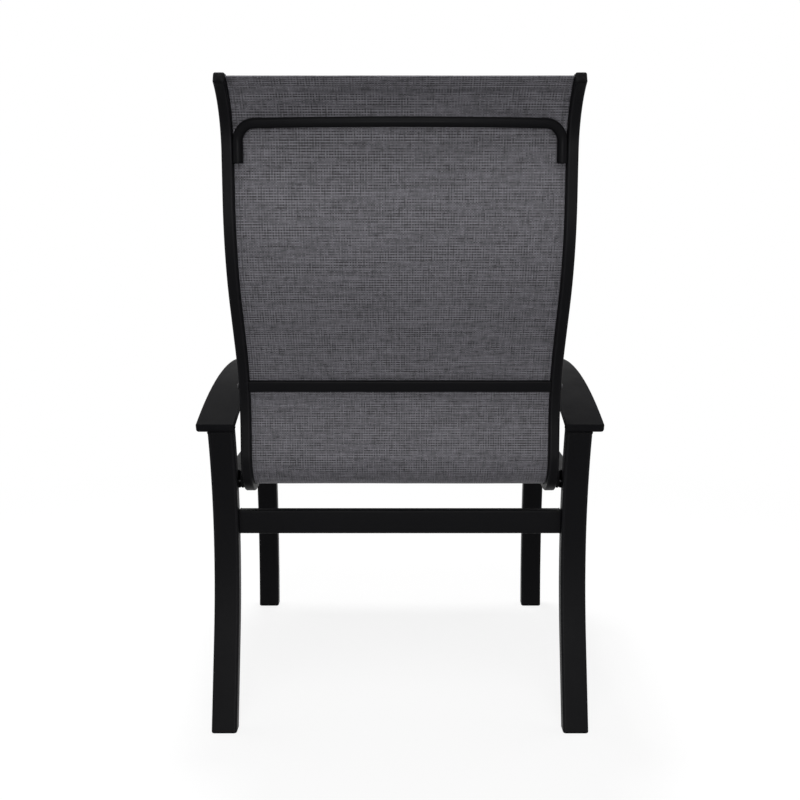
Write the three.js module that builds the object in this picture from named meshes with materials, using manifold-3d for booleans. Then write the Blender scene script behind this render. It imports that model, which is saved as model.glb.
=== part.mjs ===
// A high-backed sling patio chair. Two bent seat rails stretch one woven sling from under the
// sitter's knees to behind the head. They are bolted between two welded side frames, each of a
// curved rear leg, a curved front leg, a flat arched arm and a straight side rail.
// Millimetres, Z up. The chair faces -Y, +X is on the sitter's left, and the origin is on the
// floor below the middle of the whole chair.

import * as THREE from "three";
import { mergeVertices } from "three/addons/utils/BufferGeometryUtils.js";
import Module from "manifold-3d";

const wasm = await Module();
wasm.setup();

// Clearances and facets
const seatGap = 0.3;            // left between pieces that touch on the real chair
const cutOverrun = 1;           // how far a cutting tool reaches past the wall it cuts
const facetGap = 0.35;        // between a bend and its facets
const armFacetGap = 0.15;
const roundSides = 12;          // facets round a bolt or bore
const cornerSteps = 2;          // facets in a section's rounded corner

// Seat rail: an aluminium extrusion with a chamber behind and a keyed slot towards the sling
const railWidth = 16.5;
const railDepth = 16.5;
const railCorner = 2.5;
const railWall = 1.7;
const slingSetback = 12.5;      // from the rail's rear face to the sling's middle
const cordBoreDiameter = 5.4;           // round cavity that holds the sling's edge cord
const slotWidth = 2.8;          // mouth between the cavity and the inner face
const chamberCorner = 1.2;

// Seat rail's bends, from the front end under the knees to the top of the back, in degrees
// and millimetres along the sling's middle line
const noseLength = 12;
const noseRadius = 50;
const noseAngle = 80;         // the front end points down, ten degrees off plumb
const seatAngle = 4;            // the seat falls towards the back
const seatLength = 431;
const seatBendRadius = 56.5;
const kickAngle = -4.8;          // the back starts by leaning a little forward
const kickLength = 40.4;
const lumbarRadius = 253.3;
const reclineAngle = 28.6;
const reclineLength = 83.7;
const shoulderRadius = 306.3;
const uprightAngle = -1.3;
const uprightLength = 68.7;
const scrollRadius = 111.8;
const scrollAngle = 62;          // the top scrolls backwards over the head
const quarterTurn = 90;
const seatLowHeight = 395.7;    // of the sling where the seat meets the bend
const seatLowSetback = 137.4;   // of that point in front of the rear feet

// Sling
const slingThickness = 1.8;
const slingHemThickness = 3.2;
const slingHemLength = 28;
const slingEndInset = 0.5;
const slingSagDepth = 3;             // unloaded, at the middle of the seat
const slingEdgeMargin = 3.5;    // single cloth beside the rails, where the hems stop
const slingSlices = 4;          // facets across

// Edge cord
const cordDiameter = 4.6;
const cordSides = 8;

// Rail end caps
const capThickness = 4;
const capRounding = 1.5;
const capTongueLength = 10;

// Braces between the seat rails
const topBraceDiameter = 15;
const topBraceWall = 1.5;
const topBraceRise = 580.3;     // of its straight part's axis above the seat's low point
const topBraceEndLength = 56;        // of the turned-down ends below that
const topBraceRadius = 26;
const topBraceBowDepth = 24;         // the middle bows back, clear of the head
const topBraceGap = 1.2;      // between the tube and the sling
const flatBraceHeight = 18;
const flatBraceDepth = 9;
const flatBraceCorner = 1.6;
const flatBraceInset = 0.5;     // of its rear face behind the rails' rear faces
const midBraceRise = 176.8;     // of its axis above the seat's low point
const seatBraceShare = 0.12;    // of the seat run, measured from its front
const braceBoltDiameter = 5;
const braceBoltGripLength = 12;       // length in the brace
const braceHeadDiameter = 9;
const braceHeadHeight = 1.8;

// Legs: flattened rectangular tube, wide across the chair
const legSpan = 625;            // between the outer faces of the legs
const legWidth = 42;
const legDepth = 26;
const legCorner = 4;
const legWall = 1.8;
const footHeight = 4;
const rearLegApexHeight = 325;  // where the rear leg's rear face stands furthest forward
const rearLegApexSetback = 71;
const rearLegRadius = 600;
const rearLegSplayAngle = 17;        // degrees off plumb of its straight lower run
const frontLegApexHeight = 165;
const frontLegApexSetback = 590.4;
const frontLegRadius = 1120;

// Foot glides
const glideRounding = 2.6;
const glideStemLength = 14;

// Arms: flat bars arched from the rear leg over the front leg
const armOverhang = 18.5;       // of its outer edge outside the leg
const armWidth = 61.8;
const armThickness = 14;
const armTopCorner = 2;
const armLowerCorner = 4.5;
const armCrestHeight = 571.4;
const armCrestSetback = 390;
const armRadius = 1050;
const armRearSetback = 45;
const armFrontSetback = 592;

// Side rails and stretchers of the base
const sideRailWidth = 25;
const sideRailRise = 0.8;       // of its underside above the seat's low point
const sideRailHeight = 31;
const sideRailCorner = 3;
const sideRailWall = 1.6;
const sideRailInset = 21;       // of its outer face inside the leg's outer face
const stretcherHeight = 40;
const stretcherDepth = 19;
const stretcherOffset = 78.6;   // of its underside below the side rail's
const stretcherCorner = 2.5;
const stretcherWall = 1.6;
const stretcherInset = 15;      // of its rear face in front of the leg's rear face

// Bolts that hold the seat rails to the side rails, with a spacer block between them
const spacerWidth = 20;
const spacerThickness = 3.4;
const spacerCorner = 3;
const boltDiameter = 6;
const boltHeadDiameter = 11;
const boltHeadHeight = 3;
const boltSocketDiameter = 5;
const boltSocketDepth = 1.8;
const boltGripLength = 5.5;           // length in the seat rail
const boltLineOffset = 0.2;           // of the bolt's axis behind the sling's middle line
const rearBoltInset = 10;       // of the bolt's axis in front of the rear leg
const boltSpacing = 330;        // along the chair

// Finishes
const finishes = {
  frame: { color: 0x262628, roughness: 0.45, metalness: 0.35 },
  sling: { color: 0x6b6a6f, roughness: 0.85, metalness: 0 },
  plastic: { color: 0x1c1c1e, roughness: 0.6, metalness: 0 },
  steel: { color: 0x2b2c2e, roughness: 0.4, metalness: 0.6 },
};

const radians = THREE.MathUtils.degToRad;

// Rounded rectangle outline, counter-clockwise, as section points (across, towards the sitter).
// The corners run from low left round to high left, each with its own radius.
function roundedSection(left, right, low, high, radii) {
  const [lowLeft, lowRight, highRight, highLeft] = radii;
  const corners = [
    [left + lowLeft, low + lowLeft, lowLeft, 2 * quarterTurn],
    [right - lowRight, low + lowRight, lowRight, 3 * quarterTurn],
    [right - highRight, high - highRight, highRight, 0],
    [left + highLeft, high - highLeft, highLeft, quarterTurn],
  ];
  const points = [];
  for (const [across, up, radius, start] of corners) {
    for (let step = 0; step <= cornerSteps; step++) {
      const angle = radians(start + (quarterTurn * step) / cornerSteps);
      points.push(new THREE.Vector2(across + radius * Math.cos(angle), up + radius * Math.sin(angle)));
    }
  }
  return points;
}

function evenSection(width, low, high, radius) {
  return roundedSection(-width / 2, width / 2, low, high, [radius, radius, radius, radius]);
}

// How many facets keep within a distance of a bend
function bendPieces(radius, angle, error) {
  return Math.ceil(Math.abs(angle) / (2 * Math.acos(1 - error / radius)));
}

function roundSection(radius, sides, across = 0, up = 0) {
  return Array.from({ length: sides }, (_, side) => {
    const angle = (2 * Math.PI * (side + 0.5)) / sides;
    return new THREE.Vector2(across + radius * Math.cos(angle), up + radius * Math.sin(angle));
  });
}

// A path bent in the plane of Y and Z. Each run is straight, or turns by an angle on a radius.
class BentPath {
  constructor(heading, runs) {
    let place = { y: 0, z: 0, angle: radians(heading) };
    let start = 0;
    this.runs = runs.map(({ length = 0, radius = 0, turn = 0 }) => {
      const run = { start, place, radius, turn: radians(turn), length };
      if (radius > 0) run.length = radius * Math.abs(run.turn);
      start += run.length;
      place = this.along(run, run.length);
      return run;
    });
    this.length = start;
    this.shift = { y: 0, z: 0 };
  }

  along(run, distance) {
    const { y, z, angle } = run.place;
    if (run.radius === 0) {
      return { y: y + distance * Math.cos(angle), z: z + distance * Math.sin(angle), angle };
    }
    const side = Math.sign(run.turn);
    const turned = angle + (side * distance) / run.radius;
    return {
      y: y + side * run.radius * (Math.sin(turned) - Math.sin(angle)),
      z: z - side * run.radius * (Math.cos(turned) - Math.cos(angle)),
      angle: turned,
    };
  }

  // Place, heading and the direction towards the sitter at a distance along the path
  at(distance) {
    const inside = this.runs.find((run) => distance <= run.start + run.length);
    const run = inside ?? this.runs[this.runs.length - 1];
    const { y, z, angle } = this.along(run, distance - run.start);
    return {
      origin: new THREE.Vector3(0, y + this.shift.y, z + this.shift.z),
      tangent: new THREE.Vector3(0, Math.cos(angle), Math.sin(angle)),
      normal: new THREE.Vector3(0, -Math.sin(angle), Math.cos(angle)),
    };
  }

  anchor(distance, y, z) {
    const { origin } = this.at(distance);
    this.shift.y += y - origin.y;
    this.shift.z += z - origin.z;
  }

  // Distances of the facets' ends: both ends of every run, and even steps round the bends
  stops() {
    const list = [0];
    for (const run of this.runs) {
      const pieces = run.radius > 0 ? bendPieces(run.radius, run.turn, facetGap) : 1;
      for (let piece = 1; piece <= pieces; piece++) {
        list.push(run.start + (run.length * piece) / pieces);
      }
    }
    return list;
  }
}

// Number between two limits at which a rising measure reaches a value
function solve(from, to, measure, value) {
  let [low, high] = [from, to];
  const halvings = 40;
  for (let turn = 0; turn < halvings; turn++) {
    const middle = (low + high) / 2;
    if (measure(middle) < value) low = middle;
    else high = middle;
  }
  return (low + high) / 2;
}

// Distance along a path where a measure of the place there reaches a value
function distanceWhere(path, from, to, measure, value) {
  return solve(from, to, (distance) => measure(path.at(distance)), value);
}

function signedVolume(positions, faces) {
  const [a, b, c] = [new THREE.Vector3(), new THREE.Vector3(), new THREE.Vector3()];
  let volume = 0;
  for (let face = 0; face < faces.length; face += 3) {
    a.fromArray(positions, 3 * faces[face]);
    b.fromArray(positions, 3 * faces[face + 1]);
    c.fromArray(positions, 3 * faces[face + 2]);
    volume += a.dot(b.cross(c));
  }
  return volume;
}

// Closed solid through rings of points. Each ring holds the outline's points and then each
// hole's, and the flat section closes the two ends.
function loft(rings, outline, holes = []) {
  const loops = [outline, ...holes];
  const positions = rings.flat().flatMap((point) => point.toArray());
  const ringSize = rings[0].length;
  const faces = [];
  for (let ring = 0; ring + 1 < rings.length; ring++) {
    let first = ring * ringSize;
    for (const loop of loops) {
      for (let point = 0; point < loop.length; point++) {
        const here = first + point;
        const next = first + ((point + 1) % loop.length);
        faces.push(here, next, next + ringSize, here, next + ringSize, here + ringSize);
      }
      first += loop.length;
    }
  }
  const last = (rings.length - 1) * ringSize;
  for (const [a, b, c] of THREE.ShapeUtils.triangulateShape(outline, holes)) {
    faces.push(a, c, b, last + a, last + b, last + c);
  }
  if (signedVolume(positions, faces) < 0) faces.reverse();
  const geometry = new THREE.BufferGeometry();
  geometry.setAttribute("position", new THREE.Float32BufferAttribute(positions, 3));
  geometry.setIndex(faces);
  return geometry;
}

// Section point placed square to the path, then slid along it for a slanted end
function placed({ origin, tangent, normal }, point, centreX, slide = 0) {
  return new THREE.Vector3(centreX + point.x, 0, 0)
    .add(origin)
    .addScaledVector(normal, point.y)
    .addScaledVector(tangent, slide);
}

// Section swept along a path. startSlope and endSlope slide the end faces' points along the
// path in step with their place across its depth.
function sweep(path, stops, centreX, outline, holes = [], startSlope = 0, endSlope = 0) {
  const section = [outline, ...holes].flat();
  const rings = stops.map((stop, index) => {
    const station = path.at(stop);
    let slope = 0;
    if (index === 0) slope = startSlope;
    if (index === stops.length - 1) slope = endSlope;
    return section.map((point) => placed(station, point, centreX, slope * point.y));
  });
  return loft(rings, outline, holes);
}

const clockwise = (points) => [...points].reverse();

// Straight bar along X whose outline and bore are pairs of Y and Z
function barAlongX(fromX, toX, outline, bore) {
  const rings = [fromX, toX].map((x) => [...outline, ...bore].map(
    (point) => new THREE.Vector3(x, point.x, point.y),
  ));
  return loft(rings, outline, [bore]);
}

// Closed mesh and boolean solid, in both directions
function toSolid(geometry) {
  const bare = geometry.clone();
  bare.deleteAttribute("normal");
  bare.deleteAttribute("uv");
  const merged = mergeVertices(bare);
  return new wasm.Manifold(new wasm.Mesh({
    numProp: 3,
    vertProperties: new Float32Array(merged.getAttribute("position").array),
    triVerts: new Uint32Array(merged.getIndex().array),
  }));
}

function toGeometry(solid) {
  const mesh = solid.getMesh();
  const geometry = new THREE.BufferGeometry();
  geometry.setAttribute("position", new THREE.Float32BufferAttribute(mesh.vertProperties, 3));
  geometry.setIndex(Array.from(mesh.triVerts));
  return geometry;
}

function drilled(geometry, tools) {
  const solid = tools.reduce((left, tool) => left.subtract(toSolid(tool)), toSolid(geometry));
  return toGeometry(solid);
}

// Turned solid whose axis lies along X. The profile's pairs are radius and X, from axis to axis.
function turnedAlongX(profile, y, z, sides = roundSides) {
  const points = profile.map(([radius, x]) => new THREE.Vector2(radius, x));
  const geometry = new THREE.LatheGeometry(points, sides);
  geometry.rotateZ(-Math.PI / 2);
  geometry.translate(0, y, z);
  geometry.deleteAttribute("normal");
  geometry.deleteAttribute("uv");
  const merged = mergeVertices(geometry);
  const faces = Array.from(merged.getIndex().array);
  if (signedVolume(merged.getAttribute("position").array, faces) < 0) merged.setIndex(faces.reverse());
  return merged;
}

function cylinderAlongX(radius, fromX, toX, y, z) {
  return turnedAlongX([[0, fromX], [radius, fromX], [radius, toX], [0, toX]], y, z);
}

function mirrored(geometry) {
  const copy = geometry.clone().scale(-1, 1, 1);
  copy.setIndex(Array.from(geometry.getIndex().array).reverse());
  return copy;
}

const chair = new THREE.Group();
const layout = new THREE.Group();
chair.add(layout);

function addPiece(name, geometry, finish) {
  geometry.computeVertexNormals();
  const mesh = new THREE.Mesh(geometry, new THREE.MeshStandardMaterial(finish));
  mesh.name = name;
  layout.add(mesh);
}

// The sitter's left piece and its mirror image on the right
function addPair(name, geometry, finish) {
  addPiece(`${name}_left`, geometry, finish);
  addPiece(`${name}_right`, mirrored(geometry), finish);
}

// Legs. Both faces of a leg are arcs about one centre, and the section's depth runs forward
// from the rear face.
const legSection = evenSection(legWidth, 0, legDepth, legCorner);
const legBore = evenSection(legWidth - 2 * legWall, legWall, legDepth - legWall, legCorner - legWall);
const armTopCentreZ = armCrestHeight - armRadius;

function armUnderside(y) {
  const along = -armCrestSetback - y;
  return armTopCentreZ + Math.sqrt((armRadius - armThickness) ** 2 - along ** 2);
}

// Leg path along the rear face, from the foot up to the arm
function legPath(radius, apexSetback, apexHeight, straightLean) {
  const arcStart = apexHeight - radius * Math.sin(radians(straightLean));
  const straight = straightLean > 0 ? Math.max(arcStart - footHeight, 0) : 0;
  const footLean = straight > 0
    ? straightLean
    : THREE.MathUtils.radToDeg(Math.asin((apexHeight - footHeight) / radius));
  const sweepLimit = 60;
  const path = new BentPath(quarterTurn + footLean, [
    { length: straight / Math.cos(radians(footLean)) },
    { radius, turn: -sweepLimit },
  ]);
  const apexStop = path.runs[1].start + radius * radians(footLean);
  path.anchor(apexStop, -apexSetback, apexHeight);
  return path;
}

function legStops(path) {
  const arc = path.runs[1];
  const reach = ({ origin }) => origin.z - armUnderside(origin.y) + seatGap;
  const top = distanceWhere(path, arc.start, path.length, reach, 0);
  const pieces = 14;
  const stops = path.runs[0].length > 0 ? [0] : [];
  for (let piece = 0; piece <= pieces; piece++) {
    stops.push(arc.start + ((top - arc.start) * piece) / pieces);
  }
  return stops;
}

const legPaths = {
  rear: legPath(rearLegRadius, rearLegApexSetback, rearLegApexHeight, rearLegSplayAngle),
  front: legPath(frontLegRadius, frontLegApexSetback, frontLegApexHeight, 0),
};

// Y of a leg's faceted face at a height, for what butts against it
function legFaceY(path, depth, height) {
  const face = legStops(path).map((stop) => {
    const { origin, normal } = path.at(stop);
    return origin.addScaledVector(normal, depth);
  });
  const above = face.findIndex(({ z }) => z > height);
  const [low, high] = [face[above - 1], face[above]];
  return THREE.MathUtils.mapLinear(height, low.z, high.z, low.y, high.y);
}

// Places that the legs, rails and arms share
const legOuterX = legSpan / 2;
const legInnerX = legOuterX - legWidth;
const legCentreX = legOuterX - legWidth / 2;
const sideRailBottom = seatLowHeight + sideRailRise;
const stretcherBottom = sideRailBottom - stretcherOffset;
const sideRailOuterX = legOuterX - sideRailInset;
const sideRailInnerX = sideRailOuterX - sideRailWidth;
const railOuterX = sideRailInnerX - 2 * seatGap - spacerThickness;
const railInnerX = railOuterX - railWidth;
const railCentreX = railOuterX - railWidth / 2;

// Seat rail path, front end first
const railPath = new BentPath(noseAngle, [
  { length: noseLength },
  { radius: noseRadius, turn: -(noseAngle + seatAngle) },
  { length: seatLength },
  { radius: seatBendRadius, turn: seatAngle + quarterTurn - kickAngle },
  { length: kickLength },
  { radius: lumbarRadius, turn: kickAngle - reclineAngle },
  { length: reclineLength },
  { radius: shoulderRadius, turn: reclineAngle - uprightAngle },
  { length: uprightLength },
  { radius: scrollRadius, turn: uprightAngle - scrollAngle },
]);
const [, , seatSection, seatBend, , , reclineSection, , uprightSection] = railPath.runs;
railPath.anchor(seatBend.start, -seatLowSetback, seatLowHeight);
const railStops = railPath.stops();

// Seat rail section: outer wall, then the keyed slot cut in from the inner face
const railRear = -slingSetback;
const railFront = railDepth - slingSetback;
const cavityAcross = -railWidth / 2 + railWall + cordBoreDiameter / 2;
const chamberHalf = railWidth / 2 - railWall;
const chamberRear = railRear + railWall;
const chamberFront = -cordBoreDiameter / 2 - railWall;

function railOutline() {
  const corners = [railCorner, railCorner, railCorner, railCorner];
  const walls = roundedSection(-railWidth / 2, railWidth / 2, railRear, railFront, corners);
  const mouthHalf = slotWidth / 2;
  const opening = Math.asin(slotWidth / cordBoreDiameter);
  const slotSteps = 6;
  const slot = [new THREE.Vector2(-railWidth / 2, mouthHalf)];
  for (let step = 0; step <= slotSteps; step++) {
    const angle = Math.PI - opening - (step / slotSteps) * 2 * (Math.PI - opening);
    const across = cavityAcross + (cordBoreDiameter / 2) * Math.cos(angle);
    slot.push(new THREE.Vector2(across, (cordBoreDiameter / 2) * Math.sin(angle)));
  }
  slot.push(new THREE.Vector2(-railWidth / 2, -mouthHalf));
  return [...walls, ...slot];
}

const railSection = railOutline();
const chamberSection = roundedSection(
  -chamberHalf, chamberHalf, chamberRear, chamberFront,
  [chamberCorner, chamberCorner, chamberCorner, chamberCorner],
);

// Where a bolt at a given Y meets the seat rail's bolt line
const boltHoleRadius = boltDiameter / 2 + seatGap;

function boltPlace(boltY, from, to) {
  const onLine = ({ origin, normal }) => origin.y - boltLineOffset * normal.y;
  const stop = distanceWhere(railPath, from, to, onLine, boltY);
  const { origin, normal } = railPath.at(stop);
  const place = origin.clone().addScaledVector(normal, -boltLineOffset);
  return { y: place.y, z: place.z };
}

const sideRailMiddle = sideRailBottom + sideRailHeight / 2;
const rearBoltY = legFaceY(legPaths.rear, legDepth, sideRailMiddle) - rearBoltInset;
const railBolts = {
  front: boltPlace(rearBoltY - boltSpacing, seatSection.start, seatBend.start),
  rear: boltPlace(rearBoltY, seatBend.start, seatBend.start + seatBend.length / 2),
};

// Flat braces sit just behind the sling, square to the rails
const flatBraceRear = railRear + flatBraceInset;
const flatBraceFront = flatBraceRear + flatBraceDepth;
const braceBoltBack = (flatBraceRear + flatBraceFront) / 2;
const braceStops = {
  mid: distanceWhere(
    railPath, reclineSection.start - lumbarRadius * radians(reclineAngle), uprightSection.start,
    ({ origin, normal }) => origin.z + braceBoltBack * normal.z, seatLowHeight + midBraceRise,
  ),
  seat: seatSection.start + seatBraceShare * seatLength,
};

function braceBoltPlace(stop) {
  const { origin, normal } = railPath.at(stop);
  const place = origin.clone().addScaledVector(normal, braceBoltBack);
  return { y: place.y, z: place.z };
}

// Seat rails with their bolt holes
function seatRail() {
  const body = sweep(railPath, railStops, railCentreX, railSection, [clockwise(chamberSection)]);
  const tools = Object.values(railBolts).map(({ y, z }) => cylinderAlongX(
    boltHoleRadius, railOuterX - boltGripLength - 2 * seatGap, railOuterX + cutOverrun, y, z,
  ));
  for (const stop of Object.values(braceStops)) {
    const { y, z } = braceBoltPlace(stop);
    const radius = braceBoltDiameter / 2 + seatGap;
    tools.push(cylinderAlongX(radius, railInnerX - cutOverrun, railOuterX + cutOverrun, y, z));
  }
  return drilled(body, tools);
}
addPair("seat_rail", seatRail(), finishes.frame);

// Rail end caps: a rounded flange on the rail's end and a tongue along its chamber
function railCap(stop, neighbour, outward) {
  const end = railPath.at(stop);
  const inner = railPath.at(neighbour);
  const tongueShare = capTongueLength / Math.abs(stop - neighbour);
  const inset = (from, by) => roundedSection(
    -railWidth / 2 + by, railWidth / 2 - by, railRear + by, railFront - by,
    [from, from, from, from],
  );
  const flange = inset(railCorner, 0);
  const crown = inset(railCorner, capRounding);
  const tongueHalf = chamberHalf - seatGap;
  const tongue = roundedSection(
    -tongueHalf, tongueHalf, chamberRear + seatGap, chamberFront - seatGap,
    [chamberCorner, chamberCorner, chamberCorner, chamberCorner],
  );
  const layers = [
    [tongue, seatGap],
    [flange, seatGap],
    [flange, seatGap + capThickness - capRounding],
    [crown, seatGap + capThickness],
  ];
  const tongueTip = tongue.map((point) => placed(end, point, railCentreX)
    .lerp(placed(inner, point, railCentreX), tongueShare));
  const rings = layers.map(([section, reach]) => section.map(
    (point) => placed(end, point, railCentreX, outward * reach),
  ));
  return loft([tongueTip, ...rings], flange);
}
const lastFacet = railStops[railStops.length - 2];
addPair("rail_top_cap", railCap(railPath.length, lastFacet, 1), finishes.plastic);
addPair("rail_front_cap", railCap(0, railStops[1], -1), finishes.plastic);

// Edge cords in the rails' cavities
const cordInset = slingEndInset + seatGap;

function innerStops(inset) {
  const kept = railStops.filter((stop) => stop > inset && stop < railPath.length - inset);
  return [inset, ...kept, railPath.length - inset];
}

const cordSection = roundSection(cordDiameter / 2, cordSides, cavityAcross);
addPair("edge_cord", sweep(railPath, innerStops(cordInset), railCentreX, cordSection), finishes.plastic);

// Sling: cloth from slot to slot, doubled into hems at its two ends, sagging a little in the seat
const slingHalf = railCentreX + cavityAcross - cordDiameter / 2 - seatGap;
const hemHalf = railInnerX - slingEdgeMargin;
const plainHalf = railInnerX - slingEdgeMargin / 2;

function sagAt(stop, across) {
  const share = (stop - seatSection.start) / seatSection.length;
  if (share <= 0 || share >= 1) return 0;
  return slingSagDepth * Math.sin(Math.PI * share) ** 2 * (1 - (across / slingHalf) ** 2);
}

function slingSolid() {
  const columns = [-slingHalf, -plainHalf];
  for (let slice = 0; slice <= slingSlices; slice++) {
    columns.push(-hemHalf + (2 * hemHalf * slice) / slingSlices);
  }
  columns.push(plainHalf, slingHalf);
  const hemStep = slingThickness / 2;
  const ends = [slingEndInset, railPath.length - slingEndInset];
  const hemEdges = [ends[0] + slingHemLength, ends[1] - slingHemLength];
  const stops = [...innerStops(slingEndInset), hemEdges[0], hemEdges[0] + hemStep];
  stops.push(hemEdges[1], hemEdges[1] - hemStep);
  const seatSteps = 6;
  for (let step = 1; step < seatSteps; step++) {
    stops.push(seatSection.start + (seatSection.length * step) / seatSteps);
  }
  stops.sort((a, b) => a - b);
  const rings = stops.map((stop) => {
    const station = railPath.at(stop);
    const inHem = stop <= hemEdges[0] || stop >= hemEdges[1];
    const level = (across, side) => {
      const doubled = inHem && Math.abs(across) <= hemHalf;
      const thickness = doubled ? slingHemThickness : slingThickness;
      return new THREE.Vector2(across, (side * thickness) / 2 - sagAt(stop, across));
    };
    const lower = columns.map((across) => level(across, -1));
    const upper = clockwise(columns).map((across) => level(across, 1));
    return [...lower, ...upper].map((point) => placed(station, point, 0));
  });
  const flatEnd = [
    ...columns.map((across) => new THREE.Vector2(across, -slingThickness)),
    ...clockwise(columns).map((across) => new THREE.Vector2(across, slingThickness)),
  ];
  return loft(rings, flatEnd);
}
addPiece("sling", slingSolid(), finishes.sling);

// Top brace: one tube, its ends turned down along the rails' inner faces, its middle bowed back
const topBraceHalf = railInnerX - seatGap - topBraceDiameter / 2;

function topBracePoint(x, drop) {
  const z = seatLowHeight + topBraceRise - drop;
  const stop = distanceWhere(
    railPath, uprightSection.start, railPath.length, ({ origin }) => origin.z, z,
  );
  const { origin, normal } = railPath.at(stop);
  const behind = slingThickness / 2 + topBraceGap + topBraceDiameter / 2;
  const bow = topBraceBowDepth * (1 - (x / topBraceHalf) ** 2);
  return new THREE.Vector3(x, origin.y - behind * normal.y + bow, z);
}

function topBrace() {
  const half = [topBracePoint(topBraceHalf, topBraceEndLength)];
  const cornerPieces = 5;
  for (let piece = 0; piece <= cornerPieces; piece++) {
    const angle = radians((quarterTurn * piece) / cornerPieces);
    const x = topBraceHalf - topBraceRadius * (1 - Math.cos(angle));
    half.push(topBracePoint(x, topBraceRadius * (1 - Math.sin(angle))));
  }
  const bowPieces = 5;
  for (let piece = 1; piece < bowPieces; piece++) {
    half.push(topBracePoint((topBraceHalf - topBraceRadius) * (1 - piece / bowPieces), 0));
  }
  const other = clockwise(half).map(({ x, y, z }) => new THREE.Vector3(-x, y, z));
  const axis = [...half, topBracePoint(0, 0), ...other];
  const outer = roundSection(topBraceDiameter / 2, roundSides);
  const bore = clockwise(roundSection(topBraceDiameter / 2 - topBraceWall, roundSides));
  const rings = axis.map((centre, index) => {
    const before = axis[Math.max(index - 1, 0)];
    const after = axis[Math.min(index + 1, axis.length - 1)];
    const tangent = after.clone().sub(before).normalize();
    const across = tangent.clone().cross(new THREE.Vector3(0, 1, 0)).normalize();
    const back = across.clone().cross(tangent);
    return [...outer, ...bore].map((point) => centre.clone()
      .addScaledVector(across, point.x).addScaledVector(back, point.y));
  });
  return loft(rings, outer, [bore]);
}
addPiece("top_brace", topBrace(), finishes.frame);

// Flat braces: bars across the rails, tapped at both ends for the brace bolts
function flatBrace(stop) {
  const { origin, tangent, normal } = railPath.at(stop);
  const halfLength = railInnerX - seatGap;
  const section = roundedSection(
    -flatBraceHeight / 2, flatBraceHeight / 2, flatBraceRear, flatBraceFront,
    [flatBraceCorner, flatBraceCorner, flatBraceCorner, flatBraceCorner],
  );
  const rings = [-halfLength, halfLength].map((x) => section.map(
    (point) => new THREE.Vector3(x, 0, 0).add(origin)
      .addScaledVector(tangent, point.x).addScaledVector(normal, point.y),
  ));
  const { y, z } = braceBoltPlace(stop);
  const radius = braceBoltDiameter / 2 + seatGap;
  const depth = halfLength - braceBoltGripLength - seatGap;
  return drilled(loft(rings, section), [
    cylinderAlongX(radius, depth, halfLength + cutOverrun, y, z),
    cylinderAlongX(radius, -halfLength - cutOverrun, -depth, y, z),
  ]);
}

function braceBolt(stop) {
  const { y, z } = braceBoltPlace(stop);
  const shank = braceBoltDiameter / 2;
  const head = braceHeadDiameter / 2;
  const tip = railInnerX - braceBoltGripLength;
  const seat = railOuterX + seatGap;
  return turnedAlongX([
    [0, tip], [shank, tip], [shank, seat], [head, seat],
    [head, seat + braceHeadHeight / 2], [head - braceHeadHeight / 2, seat + braceHeadHeight],
    [0, seat + braceHeadHeight],
  ], y, z);
}

for (const [name, stop] of Object.entries(braceStops)) {
  addPiece(`${name}_brace`, flatBrace(stop), finishes.frame);
  addPair(`${name}_brace_bolt`, braceBolt(stop), finishes.steel);
}

// How far a foot's point slides along the leg, per unit of depth, to lie level with the floor
function levelSlope({ tangent, normal }) {
  return -normal.z / tangent.z;
}

// The same at the top, where both faces reach the arm's underside
function armSlope(station) {
  const front = station.origin.clone().addScaledVector(station.normal, legDepth);
  const above = (slide) => {
    const point = front.clone().addScaledVector(station.tangent, slide);
    return point.z - armUnderside(point.y) + seatGap;
  };
  return solve(-legDepth, legDepth, above, 0) / legDepth;
}

function leg(path) {
  const stops = legStops(path);
  const foot = path.at(stops[0]);
  const top = path.at(stops[stops.length - 1]);
  return sweep(
    path, stops, legCentreX, legSection, [clockwise(legBore)], levelSlope(foot), armSlope(top),
  );
}

// Glide: a pad under the leg's level foot and a stem along its open end
function footGlide(path) {
  const next = legStops(path)[1];
  const [foot, above] = [path.at(0), path.at(next)];
  const slope = levelSlope(foot);
  const ring = (points, share) => points.map(
    (point) => placed(foot, point, legCentreX, slope * point.y)
      .lerp(placed(above, point, legCentreX), share),
  );
  const level = (points, z) => ring(points, 0).map((point) => point.setZ(z));
  const inset = (by, z) => {
    const section = roundedSection(
      -legWidth / 2 + by, legWidth / 2 - by, by, legDepth - by,
      [legCorner, legCorner, legCorner, legCorner],
    );
    return level(section, z);
  };
  const stemMargin = legWall + seatGap;
  const stemCorner = legCorner - legWall;
  const stem = roundedSection(
    -legWidth / 2 + stemMargin, legWidth / 2 - stemMargin, stemMargin, legDepth - stemMargin,
    [stemCorner, stemCorner, stemCorner, stemCorner],
  );
  const padTop = footHeight - seatGap;
  const halfRounding = glideRounding / 2;
  return loft([
    inset(halfRounding, 0), inset(0, halfRounding), inset(0, padTop),
    level(stem, padTop), ring(stem, glideStemLength / next),
  ], legSection);
}

for (const [name, path] of Object.entries(legPaths)) {
  addPair(`${name}_leg`, leg(path), finishes.frame);
  addPair(`${name}_foot_glide`, footGlide(path), finishes.plastic);
}

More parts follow.
